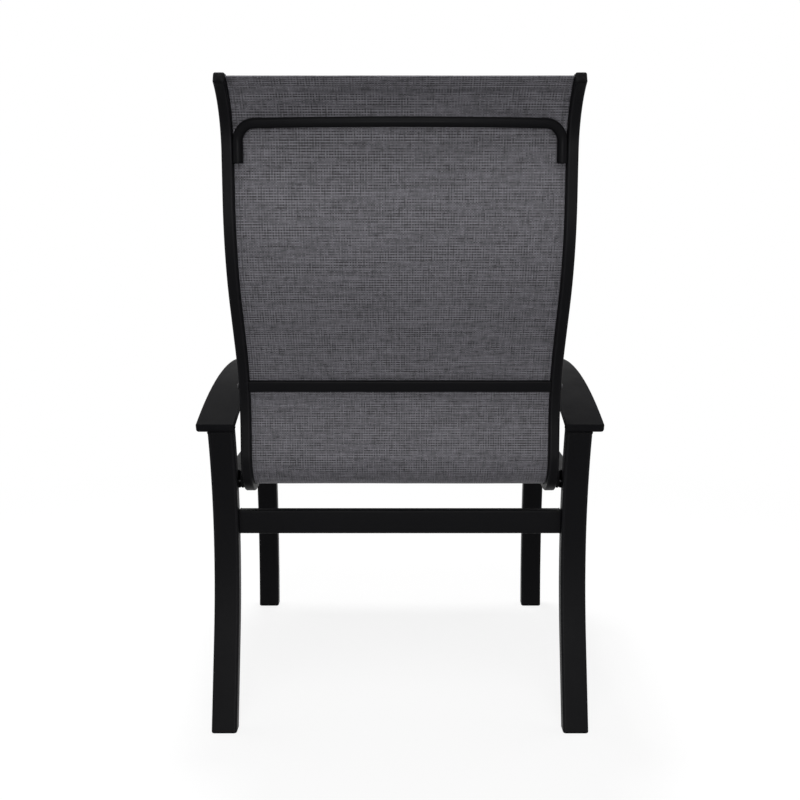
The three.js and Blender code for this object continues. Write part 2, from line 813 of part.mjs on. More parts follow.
// Arms
function arm() {
  const outerX = legOuterX + armOverhang;
  const section = roundedSection(
    outerX - armWidth, outerX, -armThickness, 0,
    [armLowerCorner, armLowerCorner, armTopCorner, armTopCorner],
  );
  const centre = new THREE.Vector3(0, -armCrestSetback, armTopCentreZ);
  const rearAngle = Math.asin((armCrestSetback - armRearSetback) / armRadius);
  const frontAngle = Math.asin((armCrestSetback - armFrontSetback) / armRadius);
  const pieces = bendPieces(armRadius, rearAngle - frontAngle, armFacetGap);
  const rings = Array.from({ length: pieces + 1 }, (_, piece) => {
    const angle = rearAngle + ((frontAngle - rearAngle) * piece) / pieces;
    return section.map((point) => new THREE.Vector3(
      point.x, centre.y + (armRadius + point.y) * Math.sin(angle),
      centre.z + (armRadius + point.y) * Math.cos(angle),
    ));
  });
  return loft(rings, section);
}
addPair("arm", arm(), finishes.frame);

// Side rails: tubes from the rear leg's front face to the front leg's rear face
function sideRail() {
  const low = sideRailBottom;
  const high = sideRailBottom + sideRailHeight;
  const outline = roundedSection(
    sideRailInnerX, sideRailOuterX, low, high,
    [sideRailCorner, sideRailCorner, sideRailCorner, sideRailCorner],
  );
  const boreCorner = sideRailCorner - sideRailWall;
  const bore = clockwise(roundedSection(
    sideRailInnerX + sideRailWall, sideRailOuterX - sideRailWall,
    low + sideRailWall, high - sideRailWall, [boreCorner, boreCorner, boreCorner, boreCorner],
  ));
  const ends = [
    (z) => legFaceY(legPaths.rear, legDepth, z) - seatGap,
    (z) => legFaceY(legPaths.front, 0, z) + seatGap,
  ];
  const rings = ends.map((faceY) => [...outline, ...bore].map(
    (point) => new THREE.Vector3(point.x, faceY(point.y), point.y),
  ));
  const tools = Object.values(railBolts).map(({ y, z }) => cylinderAlongX(
    boltHoleRadius, sideRailInnerX - cutOverrun, sideRailOuterX + cutOverrun, y, z,
  ));
  return drilled(loft(rings, outline, [bore]), tools);
}
addPair("side_rail", sideRail(), finishes.frame);

// Stretchers: tubes between the inner faces of the two rear legs, and of the two front legs
function stretcher(path) {
  const rear = legFaceY(path, 0, stretcherBottom + stretcherHeight / 2) - stretcherInset;
  const frame = (margin) => {
    const radius = stretcherCorner - margin;
    return roundedSection(
      rear - stretcherDepth + margin, rear - margin,
      stretcherBottom + margin, stretcherBottom + stretcherHeight - margin,
      [radius, radius, radius, radius],
    );
  };
  const halfLength = legInnerX - seatGap;
  return barAlongX(-halfLength, halfLength, frame(0), clockwise(frame(stretcherWall)));
}
for (const [name, path] of Object.entries(legPaths)) {
  addPiece(`${name}_stretcher`, stretcher(path), finishes.frame);
}

// Spacer blocks and bolts between the side rails and the seat rails
function spacer({ y, z }) {
  const half = spacerWidth / 2;
  const outline = roundedSection(
    y - half, y + half, z - half, z + half,
    [spacerCorner, spacerCorner, spacerCorner, spacerCorner],
  );
  const bore = clockwise(roundSection(boltHoleRadius, roundSides, y, z));
  return barAlongX(railOuterX + seatGap, sideRailInnerX - seatGap, outline, bore);
}

function railBolt({ y, z }) {
  const shank = boltDiameter / 2;
  const head = boltHeadDiameter / 2;
  const socket = boltSocketDiameter / 2;
  const tip = railOuterX - boltGripLength;
  const seat = sideRailOuterX + seatGap;
  const crown = seat + boltHeadHeight;
  return turnedAlongX([
    [0, tip], [shank, tip], [shank, seat], [head, seat], [head, seat + boltHeadHeight / 2],
    [head - boltHeadHeight / 2, crown], [socket, crown], [socket, crown - boltSocketDepth],
    [0, crown - boltSocketDepth],
  ], y, z);
}

for (const [name, place] of Object.entries(railBolts)) {
  addPair(`${name}_spacer`, spacer(place), finishes.plastic);
  addPair(`${name}_rail_bolt`, railBolt(place), finishes.steel);
}

// The origin goes to the floor below the middle of the chair
const bounds = new THREE.Box3().setFromObject(layout);
layout.position.y = -(bounds.min.y + bounds.max.y) / 2;

export default chair;
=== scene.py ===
"""High-back sling patio chair: smooth rails, legs and arms, woven sling, welds and stitching."""
import math

import bmesh
import bpy
from bpy.props import FloatProperty, FloatVectorProperty, PointerProperty
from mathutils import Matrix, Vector, noise


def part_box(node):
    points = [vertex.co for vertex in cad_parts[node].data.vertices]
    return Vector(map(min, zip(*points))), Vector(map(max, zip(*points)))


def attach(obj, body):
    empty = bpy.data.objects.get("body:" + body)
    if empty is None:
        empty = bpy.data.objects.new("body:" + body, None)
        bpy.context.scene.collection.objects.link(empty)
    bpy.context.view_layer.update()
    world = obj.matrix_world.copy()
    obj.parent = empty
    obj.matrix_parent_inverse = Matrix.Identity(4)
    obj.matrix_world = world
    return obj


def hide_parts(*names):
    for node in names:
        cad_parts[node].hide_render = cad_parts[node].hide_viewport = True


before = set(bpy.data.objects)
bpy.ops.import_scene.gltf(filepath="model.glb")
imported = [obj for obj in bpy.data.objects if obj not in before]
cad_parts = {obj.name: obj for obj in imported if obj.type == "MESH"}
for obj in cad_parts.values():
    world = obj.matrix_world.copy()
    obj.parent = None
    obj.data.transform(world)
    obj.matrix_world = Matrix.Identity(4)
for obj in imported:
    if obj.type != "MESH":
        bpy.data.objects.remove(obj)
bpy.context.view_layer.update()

bl_info = {
    "name": "Sling Patio Chair",
    "version": (1, 0, 0),
    "blender": (4, 5, 0),
    "location": "View3D > Sidebar > Patio Chair",
    "description": "Dresses the patio chair's frame with its sling, welds, stitches and finishes",
    "category": "Object",
}

SIDES = (("left", 1), ("right", -1))
QUARTER = math.pi / 2
VECTOR, FLOAT = "NodeSocketVector", "NodeSocketFloat"

# Lengths in metres
GAP = 0.0003           # between pieces that touch, as between the solids
HEM_RAMP = 0.002       # from a hem's full thickness down to the single cloth
SLOT_MARGIN = 0.001    # cloth beside the rails that stays single in the hems too
BEAD_SPACING = 0.0011  # from one ring of a weld bead to the next
BEAD_PITCH = 0.0032    # from one ripple of a weld bead to the next

WELD_INSET = 0.35      # in weld radii, from a tube's outline to the weld's middle

# Angles above which an edge between two faces stays sharp
SHARP = math.radians(32)
SHARP_CLOTH = math.radians(60)
SHARP_WELD = math.radians(80)
SHARP_END = math.radians(60)

# Places of three runs in rail_path()
SEAT_RUN, LOW_BEND, UPRIGHT_RUN = 2, 3, 8

# The part of a noise's range that changes a finish's roughness
GRAIN_RANGE = (0.3, 0.7)

# Each lamp's name, its power's name on the stage, its elevation and azimuth in degrees, and its
# distance and size in metres. Azimuth 0 is behind the chair, on the camera's side.
LAMPS = (
    ("low_lamp", "low", 5, 0, 3.2, 1.3),
    ("high_lamp", "high", 50, 0, 3.0, 2.4),
    ("top_lamp", "top", 73, 164, 2.8, 0.7),
    ("left_lamp", "side", 30, 108, 3.0, 2.4),
    ("right_lamp", "side", 30, -108, 3.0, 2.4),
)


def length(name, default, description):
    """A length in metres for the sidebar."""
    return FloatProperty(name=name, default=default, description=description,
                         unit="LENGTH", subtype="DISTANCE", precision=4)


def angle(name, degrees, description):
    """An angle for the sidebar, given in degrees and kept in radians."""
    return FloatProperty(name=name, default=math.radians(degrees), description=description,
                         unit="ROTATION", subtype="ANGLE")


def colour(name, value, description):
    """A linear colour for the sidebar."""
    return FloatVectorProperty(name=name, default=value, description=description,
                               subtype="COLOR", size=4, min=0, max=1)


def fraction(name, default, description):
    """A share from 0 to 1 for the sidebar."""
    return FloatProperty(name=name, default=default, description=description,
                         subtype="FACTOR", min=0, max=1)


def power(name, default, description):
    """A lamp's power in watts for the sidebar."""
    return FloatProperty(name=name, default=default, description=description, unit="POWER", min=0)


class RailSizes(bpy.types.PropertyGroup):
    """Sizes of the two bent seat rails and of the caps on their ends."""
    rear_line: length("Rear line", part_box("arm_left")[1].y + 0.045, "Y of the backs of the rear feet")
    outer_face: length("Outer face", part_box("seat_rail_left")[1].x, "X of the left rail's outer face")
    width: length("Width", 0.0165, "Rail's size across the chair")
    depth: length("Depth", 0.0165, "Rail's size square to the sling")
    corner: length("Corner", 0.0025, "Radius of the rail's long edges")
    setback: length("Setback", 0.0125, "Sling's middle in front of the rail's rear face")
    slot: length("Slot", 0.0028, "Mouth of the slot that the sling enters")
    cavity: length("Cavity", 0.0054, "Diameter of the cavity that holds the edge cord")
    wall: length("Wall", 0.0017, "Wall between the cavity and the slot's face")
    lip: length("Lip", 0.0011, "Raised lips on both sides of the slot's mouth")
    lip_rounding: length("Lip rounding", 0.0004, "Rounding of the lips' edges")
    nose_run: length("Nose run", 0.012, "Straight run at the front end")
    nose_radius: length("Nose radius", 0.050, "Bend under the knees")
    nose_angle: angle("Nose angle", 80, "Front end's angle from level")
    seat_angle: angle("Seat angle", 4, "How far the seat falls towards the back")
    seat_run: length("Seat run", 0.431, "Straight run of the seat")
    bend_radius: length("Bend radius", 0.0565, "Bend from the seat into the back")
    kick_angle: angle("Kick angle", -4.8, "Lean of the back just above the seat")
    kick_run: length("Kick run", 0.0404, "Straight run just above the seat")
    lumbar_radius: length("Lumbar radius", 0.2533, "Bend at the small of the back")
    recline_angle: angle("Recline angle", 28.6, "Lean of the back's middle")
    recline_run: length("Recline run", 0.0837, "Straight run of the back's middle")
    shoulder_radius: length("Shoulder radius", 0.3063, "Bend at the shoulders")
    upright_angle: angle("Upright angle", -1.3, "Lean of the back behind the head")
    upright_run: length("Upright run", 0.0687, "Straight run behind the head")
    scroll_radius: length("Scroll radius", 0.1118, "Backward curl at the top")
    scroll_angle: angle("Scroll angle", 62, "Lean at the top end")
    low_height: length("Low point height", 0.3957, "Sling's height where the seat meets the bend")
    low_setback: length("Low point setback", 0.1374, "Low point's distance in front of the rear feet")
    cap_thickness: length("Cap thickness", 0.004, "Thickness of the end caps")
    cap_rounding: length("Cap rounding", 0.0034, "Rounding of the end caps' edges")
    cap_groove: length("Cap groove", 0.0005, "Depth of the shadow line between a cap and its rail")


class SlingSizes(bpy.types.PropertyGroup):
    """Sizes and colours of the woven sling."""
    thickness: length("Thickness", 0.0014, "Thickness of the single cloth")
    hem_thickness: length("Hem thickness", 0.0029, "Thickness where the cloth is doubled")
    hem: length("Hem", 0.028, "Depth of the hems at the top and the front")
    end_inset: length("End inset", 0.0005, "Sling's ends inside the rails' ends")
    sag: length("Sag", 0.003, "Seat's sag with nobody in it")
    ripple: length("Ripple", 0.0004, "Slight unevenness of the stretched cloth")
    stitch: length("Stitch", 0.0036, "Length of one stitch")
    thread: length("Thread", 0.0007, "Thickness of the sewing thread")
    seam_inset: length("Seam inset", 0.0075, "Side seam's distance from the rail")
    seam_end: length("Seam ends", 0.004, "Side seams' ends inside the sling's ends")
    hem_seam: length("Hem seam", 0.0035, "First row of stitches inside the hem's folded edge")
    hem_seam_gap: length("Hem seam gap", 0.006, "From a hem's first row of stitches to its second")
    cord: length("Edge cord", 0.0045, "Diameter of the cords in the sling's side pockets")
    yarn_pitch: length("Yarn pitch", 0.00205, "Width of one pair of yarns")
    light_yarn: colour("Light yarn", (0.146, 0.1415, 0.159, 1), "Colour of the lighter yarns")
    dark_yarn: colour("Dark yarn", (0.018, 0.0175, 0.020, 1), "Colour of the darker yarns")
    thread_colour: colour("Thread", (0.024, 0.023, 0.026, 1), "Colour of the sewing thread")


class FrameSizes(bpy.types.PropertyGroup):
    """Sizes of the legs, arms, braces and welds."""
    leg_width: length("Leg width", 0.042, "Leg's size across the chair")
    leg_depth: length("Leg depth", 0.026, "Leg's size along the chair")
    leg_corner: length("Leg corner", 0.004, "Radius of the leg's long edges")
    leg_outer: length("Leg outer face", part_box("rear_leg_left")[1].x, "X of the left legs' outer faces")
    foot_height: length("Foot height", 0.004, "Height of the glide's pad")
    foot_rim: length("Foot rim", 0.0026, "Rounding of the glide's lower rim")
    foot_sole: length("Foot sole", 0.003, "Glide's sole inside the leg's outline")
    foot_groove: length("Foot groove", 0.0004, "Depth of the shadow line between the glide and the leg")
    rear_radius: length("Rear leg radius", 0.600, "Bend of the rear legs")
    rear_apex_height: length("Rear leg apex", 0.325, "Height where the rear leg stands furthest forward")
    rear_apex_setback: length("Rear apex setback", 0.071, "That point in front of the rear feet")
    rear_splay: angle("Rear splay", 17, "Splay of the rear leg's straight lower run")
    front_radius: length("Front leg radius", 1.120, "Bend of the front legs")
    front_apex_height: length("Front leg apex", 0.165, "Height where the front leg stands furthest forward")
    front_apex_setback: length("Front apex setback", 0.5904, "That point in front of the rear feet")
    arm_overhang: length("Arm overhang", 0.0185, "Arm's outer edge outside the leg")
    arm_width: length("Arm width", 0.0618, "Arm's size across the chair")
    arm_thickness: length("Arm thickness", 0.014, "Arm's size from top to underside")
    arm_top_corner: length("Arm top corner", 0.002, "Radius of the arm's upper edges")
    arm_low_corner: length("Arm lower corner", 0.0045, "Radius of the arm's lower edges")
    arm_end_rounding: length("Arm end rounding", 0.0012, "Rounding of the edges at the arm's ends")
    arm_radius: length("Arm radius", 1.050, "Arch of the arm")
    arm_crest_height: length("Arm crest", 0.5714, "Height of the arm's crest")
    arm_crest_setback: length("Arm crest setback", 0.390, "Crest in front of the rear feet")
    arm_rear: length("Arm rear end", 0.045, "Arm's rear end in front of the rear feet")
    arm_front: length("Arm front end", 0.592, "Arm's front end in front of the rear feet")
    brace_diameter: length("Top brace", 0.015, "Diameter of the top brace's tube")
    brace_rise: length("Top brace rise", 0.5803, "Top brace above the seat's low point")
    brace_end: length("Top brace ends", 0.056, "Length of its turned-down ends")
    brace_radius: length("Top brace radius", 0.026, "Bend of its corners")
    brace_bow: length("Top brace bow", 0.024, "How far its middle bows back")
    brace_gap: length("Top brace gap", 0.0012, "Between the tube and the cloth")
    brace_wall: length("Top brace wall", 0.0015, "Thickness of the tube's wall, seen at its open ends")
    brace_hollow: length("Top brace hollow", 0.02, "How far its open ends are hollow")
    brace_end_rounding: length("Top brace end rounding", 0.0003, "Rounding of the edges at its ends")
    cloth_half: length("Half the cloth", 0.0009, "From the sling's middle to its back behind the top brace")
    stretcher_corner: length("Stretcher corner", 0.0025, "Radius of the stretchers' long edges")
    side_rail_corner: length("Side rail corner", 0.003, "Radius of the side rails' long edges")
    weld: length("Weld", 0.0009, "Radius of a weld bead")


class Finishes(bpy.types.PropertyGroup):
    """Colours of the paint, plastic and steel."""
    paint: colour("Paint", (0.0034, 0.0034, 0.0040, 1), "Black powder coat")
    # Lighter colour on the corners: a painted highlight, and also where the coat lies thinner
    sheen_and_thin_coat_edge: colour("Paint on edges", (0.0085, 0.0085, 0.0095, 1), "Powder coat where it lies thin")
    plastic: colour("Plastic", (0.0030, 0.0030, 0.0033, 1), "Black moulded plastic")
    steel: colour("Bolts", (0.030, 0.030, 0.032, 1), "Black coated steel bolts")
    dust: fraction("Dust", 0.10, "Dust on what faces up")
    dust_colour: colour("Dust colour", (0.05, 0.049, 0.047, 1), "Colour of the dust")


class StageSizes(bpy.types.PropertyGroup):
    """Camera, lamps and floor."""
    distance: length("Distance", 1.5439, "Camera behind the rear feet")
    height: length("Height", 0.8164, "Camera above the floor")
    pitch: angle("Pitch", 9.395, "How far the camera looks down")
    lens: FloatProperty(name="Lens", default=45, description="Focal length in millimetres", unit="CAMERA")
    sensor: FloatProperty(name="Sensor", default=36, description="Width of the sensor in millimetres",
                          unit="CAMERA")
    low: power("Low lamp", 47, "Power of the lamp behind the camera")
    high: power("High lamp", 42, "Power of the wide lamp above and behind the chair")
    top: power("Top lamp", 62, "Power of the small lamp above the seat")
    side: power("Side lamps", 22, "Power of each of the two lamps beside the seat")
    sky: fraction("Sky", 0.12, "Strength of the even light from all round")
    floor_radius: length("Floor radius", 12, "Radius of the round floor")
    floor_colour: colour("Floor", (0.62, 0.62, 0.62, 1), "Floor's colour as the chair's undersides see it")
    floor_seen: colour("Floor as seen", (1.0, 1.0, 1.0, 1), "Floor's colour as the camera sees it")
    shadow_share: fraction("Shadow share", 0.16, "How much of the floor's shading the camera sees")
    shadow_reach: length("Shadow reach", 1.9, "Where the shading has faded out, from the chair's middle")
    aim: length("Aim", 0.6, "Height that the lamps point at")


GROUPS = {"chair_rails": RailSizes, "chair_sling": SlingSizes, "chair_frame": FrameSizes,
          "chair_finishes": Finishes, "chair_stage": StageSizes}


def sizes(name):
    """One of the groups of sizes in GROUPS."""
    return getattr(bpy.context.scene, name)


# Outlines and paths

def rounded(left, right, low, high, radii, steps=5, flat=0.0012):
    """Rounded rectangle as (across, up, edge) points; edge is 1 round a corner and 0 on the flats.

    The radii go round from the low left corner. A point on each flat, just beside the corner, keeps
    the flat's shading flat.
    """
    low_left, low_right, high_right, high_left = radii
    corners = ((left + low_left, low + low_left, low_left, 2),
               (right - low_right, low + low_right, low_right, 3),
               (right - high_right, high - high_right, high_right, 0),
               (left + high_left, high - high_left, high_left, 1))
    points = []
    for across, up, radius, quarter in corners:
        start, end = quarter * QUARTER, (quarter + 1) * QUARTER
        lead = Vector((math.sin(start), -math.cos(start))) * flat
        tail = Vector((-math.sin(end), math.cos(end))) * flat
        arc = [Vector((across + radius * math.cos(start + QUARTER * step / steps),
                       up + radius * math.sin(start + QUARTER * step / steps))) for step in range(steps + 1)]
        points.append((*(arc[0] + lead), 0))
        points += [(*point, 1) for point in arc]
        points.append((*(arc[-1] + tail), 0))
    return points


def circle(radius, sides):
    """Circle as (across, up, edge) points."""
    turns = [math.tau * side / sides for side in range(sides)]
    return [(radius * math.cos(turn), radius * math.sin(turn), 0) for turn in turns]


class BentPath:
    """A path in the plane of Y and Z: straight runs, and bends given as (radius, turn)."""

    def __init__(self, heading, runs):
        self.runs, self.length = [], 0.0
        place = (0.0, 0.0, heading)
        for radius, value in runs:
            run_length = abs(value) * radius if radius else value
            run = (self.length, run_length, radius, value, place)
            self.runs.append(run)
            place = self.along(run, run_length)
            self.length += run_length
        self.shift = Vector((0, 0, 0))

    @staticmethod
    def along(run, distance):
        """Y, Z and heading at a distance from the start of one run."""
        _, _, radius, value, (y, z, heading) = run
        if not radius:
            return y + distance * math.cos(heading), z + distance * math.sin(heading), heading
        side = math.copysign(1, value)
        turned = heading + side * distance / radius
        return (y + side * radius * (math.sin(turned) - math.sin(heading)),
                z - side * radius * (math.cos(turned) - math.cos(heading)), turned)

    def at(self, distance):
        """Point, direction and the direction towards the sitter at a distance along the path."""
        run = next((r for r in self.runs if distance <= r[0] + r[1]), self.runs[-1])
        y, z, heading = self.along(run, distance - run[0])
        return (Vector((0, y, z)) + self.shift, Vector((0, math.cos(heading), math.sin(heading))),
                Vector((0, -math.sin(heading), math.cos(heading))))

    def anchor(self, distance, y, z):
        """Shifts the path so that it passes y and z at a distance along it."""
        point = self.at(distance)[0]
        self.shift += Vector((0, y - point.y, z - point.z))

    def stops(self, step=math.radians(3), longest=0.05):
        """Distances along the path: even steps round the bends and along the straight runs."""
        found = [0.0]
        for start, run_length, radius, value, _ in self.runs:
            pieces = math.ceil(abs(value) / step) if radius else math.ceil(run_length / longest)
            found += [start + run_length * piece / pieces for piece in range(1, pieces + 1)]
        return found


def solve(low, high, measure, value, rounds=48):
    """Where a rising measure reaches a value."""
    for _ in range(rounds):
        middle = (low + high) / 2
        if measure(middle) < value:
            low = middle
        else:
            high = middle
    return (low + high) / 2


def rail_path():
    """The line of the sling's middle, from the rails' front ends to their top ends."""
    r = sizes("chair_rails")
    path = BentPath(r.nose_angle, [
        (0, r.nose_run), (r.nose_radius, -(r.nose_angle + r.seat_angle)), (0, r.seat_run),
        (r.bend_radius, r.seat_angle + QUARTER - r.kick_angle), (0, r.kick_run),
        (r.lumbar_radius, r.kick_angle - r.recline_angle), (0, r.recline_run),
        (r.shoulder_radius, r.recline_angle - r.upright_angle), (0, r.upright_run),
        (r.scroll_radius, r.upright_angle - r.scroll_angle)])
    path.anchor(path.runs[LOW_BEND][0], r.rear_line - r.low_setback, r.low_height)
    return path


def placed(station, across, up, slide=0.0):
    """Point near a station of a path: across the chair, towards the sitter and along the path."""
    point, direction, inward = station
    return Vector((across, 0, 0)) + point + inward * up + direction * slide


# Meshes

def build(name, rings, closed=False, sharp=SHARP, side=1, weights=None, uvs=None):
    """Object from rings of points. side -1 mirrors it to the right of the chair.

    The weights say which points of a ring lie on a corner, and uvs gives a point's place on the cloth.
    """
    bm = bmesh.new()
    edge_layer = bm.verts.layers.float.new("edge")
    rows = []
    for ring in rings:
        row = []
        for place, point in enumerate(ring):
            vert = bm.verts.new((point[0] * side, point[1], point[2]))
            vert[edge_layer] = weights[place % len(weights)] if weights else 0.0
            row.append(vert)
        rows.append(row)
    pairs = list(zip(rows, rows[1:] + rows[:1])) if closed else list(zip(rows, rows[1:]))
    uv_layer = bm.loops.layers.uv.new("cloth") if uvs else None
    for ring_index, (row, next_row) in enumerate(pairs):
        for here in range(len(row)):
            there = (here + 1) % len(row)
            face = bm.faces.new((row[here], row[there], next_row[there], next_row[here]))
            if uvs:
                corners = ((ring_index, here), (ring_index, there),
                           (ring_index + 1, there), (ring_index + 1, here))
                for loop, (ring_place, point_place) in zip(face.loops, corners):
                    loop[uv_layer].uv = uvs(ring_place, point_place)
    if not closed:
        bm.faces.new(list(reversed(rows[0])))
        bm.faces.new(rows[-1])
    bmesh.ops.recalc_face_normals(bm, faces=bm.faces)
    for face in bm.faces:
        face.smooth = True
    for edge in bm.edges:
        edge.smooth = edge.calc_face_angle(0) < sharp
    mesh = bpy.data.meshes.new(name)
    bm.to_mesh(mesh)
    bm.free()
    return place_object(name, mesh)


def place_object(name, mesh):
    """New object with a mesh, in the scene."""
    piece = bpy.data.objects.new(name, mesh)
    bpy.context.collection.objects.link(piece)
    return piece


def soften(piece, width, segments):
    """Rounds a piece's sharp end edges a little, for a highlight along them."""
    bevel = piece.modifiers.new("eased_edges", "BEVEL")
    bevel.width = width
    bevel.segments = segments
    bevel.limit_method = "ANGLE"
    bevel.angle_limit = SHARP_END
    bevel.harden_normals = True


def dress(piece, material, slot, *nodes):
    """Gives a piece its finish, lets it ride on the chair and hides the solids it stands for."""
    piece.data.materials.clear()
    piece.data.materials.append(material)
    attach(piece, "root")
    if nodes:
        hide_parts(*nodes)
    return piece


def sweep(name, path, stops, centre, outline, side=1, start_slope=0.0, end_slope=0.0):
    """Outline carried along a path. The slopes cut its two ends at an angle."""
    slopes = [0.0] * len(stops)
    slopes[0], slopes[-1] = start_slope, end_slope
    rings = []
    for stop, slope in zip(stops, slopes):
        station = path.at(stop)
        rings.append([placed(station, centre + across, up, slope * up) for across, up, _ in outline])
    return build(name, rings, side=side, weights=[point[2] for point in outline])


def spread(points, spacing):
    """The same closed line with points an even distance apart."""
    found = []
    for start, end in zip(points, points[1:] + points[:1]):
        pieces = max(1, round((end - start).length / spacing))
        found += [start.lerp(end, piece / pieces) for piece in range(pieces)]
    return found


def bead(name, corners, radius, side):
    """Weld bead along a closed line of points: a slightly rippled round cord."""
    ripple, grain, steep = 0.10, 260, 0.8
    loop = spread(corners, BEAD_SPACING)
    rings, travelled = [], 0.0
    for index, point in enumerate(loop):
        direction = (loop[(index + 1) % len(loop)] - loop[index - 1]).normalized()
        guide = Vector((0, 0, 1)) if abs(direction.z) < steep else Vector((1, 0, 0))
        across = direction.cross(guide).normalized()
        up = across.cross(direction)
        travelled += (point - loop[index - 1]).length if index else 0.0
        waves = math.sin(math.tau * travelled / BEAD_PITCH) + noise.noise(point * grain)
        ring = circle(radius * (1 + ripple * waves), sides=8)
        rings.append([point + across * right + up * high for right, high, _ in ring])
    return build(name, rings, closed=True, side=side, sharp=SHARP_WELD)


# Materials

def group(name, inputs, outputs):
    """New shader node group with named sockets, or None if it is already there."""
    if name in bpy.data.node_groups:
        return None
    tree = bpy.data.node_groups.new(name, "ShaderNodeTree")
    for socket, kind, default in inputs:
        made = tree.interface.new_socket(socket, in_out="INPUT", socket_type=kind)
        if default is not None:
            made.default_value = default
    for socket, kind in outputs:
        tree.interface.new_socket(socket, in_out="OUTPUT", socket_type=kind)
    return tree


def node(tree, kind, **settings):
    """New node with its settings."""
    made = tree.nodes.new(kind)
    for key, value in settings.items():
        setattr(made, key, value)
    return made


def feed(tree, socket, value):
    """Links a value to a socket, or sets it there where it is a plain number or colour."""
    if isinstance(value, bpy.types.NodeSocket):
        tree.links.new(value, socket)
    else:
        socket.default_value = value


def math_node(tree, operation, first, second=None, clamp=False):
    """Result of one sum on two values."""
    made = node(tree, "ShaderNodeMath", operation=operation, use_clamp=clamp)
    feed(tree, made.inputs[0], first)
    if second is not None:
        feed(tree, made.inputs[1], second)
    return made.outputs[0]


def noise_at(tree, vector, scale, detail=2.0, roughness=0.5):
    """Noise from 0 to 1 at a vector."""
    made = node(tree, "ShaderNodeTexNoise")
    for name, value in (("Vector", vector), ("Scale", scale), ("Detail", detail), ("Roughness", roughness)):
        feed(tree, made.inputs[name], value)
    return made.outputs["Fac"]


def coat_grain_group():
    """Fine grain of powder coat or moulded plastic, with soft larger patches."""
    tree = group("coat_grain",
                 inputs=(("Vector", VECTOR, None), ("Grain Scale", FLOAT, 1500.0),
                         ("Patch Scale", FLOAT, 14.0)),
                 outputs=(("Grain", FLOAT), ("Patches", FLOAT)))
    if tree is None:
        return bpy.data.node_groups["coat_grain"]
    start, end = node(tree, "NodeGroupInput"), node(tree, "NodeGroupOutput")
    place = start.outputs["Vector"]
    feed(tree, end.inputs["Grain"], noise_at(tree, place, start.outputs["Grain Scale"], detail=3.0))
    feed(tree, end.inputs["Patches"],
         noise_at(tree, place, start.outputs["Patch Scale"], detail=4.0, roughness=0.6))
    return tree


def edge_sheen_and_thin_coat_group():
    """Painted highlight on the corners, which also stands for a thinner coat there: the corner mask broken up
    by noise.
    """
    tree = group("edge_rub",
                 inputs=(("Vector", VECTOR, None), ("Corner", FLOAT, 0.0), ("Amount", FLOAT, 0.5)),
                 outputs=(("Mask", FLOAT),))
    if tree is None:
        return bpy.data.node_groups["edge_rub"]
    start, end = node(tree, "NodeGroupInput"), node(tree, "NodeGroupOutput")
    patches = noise_at(tree, start.outputs["Vector"], scale=55.0, detail=5.0, roughness=0.65)
    broken = math_node(tree, "MULTIPLY", start.outputs["Corner"], patches)
    feed(tree, end.inputs["Mask"], math_node(tree, "MULTIPLY", broken, start.outputs["Amount"], clamp=True))
    return tree


def dust_group():
    """Thin dust on what faces up, thicker in patches."""
    tree = group("settled_dust",
                 inputs=(("Vector", VECTOR, None), ("Amount", FLOAT, 0.1)),
                 outputs=(("Mask", FLOAT),))
    if tree is None:
        return bpy.data.node_groups["settled_dust"]
    start, end = node(tree, "NodeGroupInput"), node(tree, "NodeGroupOutput")
    split = node(tree, "ShaderNodeSeparateXYZ")
    feed(tree, split.inputs[0], node(tree, "ShaderNodeNewGeometry").outputs["Normal"])
    upward = math_node(tree, "MAXIMUM", split.outputs["Z"], 0.0)
    settled = math_node(tree, "MULTIPLY", upward, start.outputs["Amount"])
    patches = noise_at(tree, start.outputs["Vector"], scale=30.0, detail=6.0, roughness=0.6)
    feed(tree, end.inputs["Mask"], math_node(tree, "MULTIPLY", settled, patches, clamp=True))
    return tree


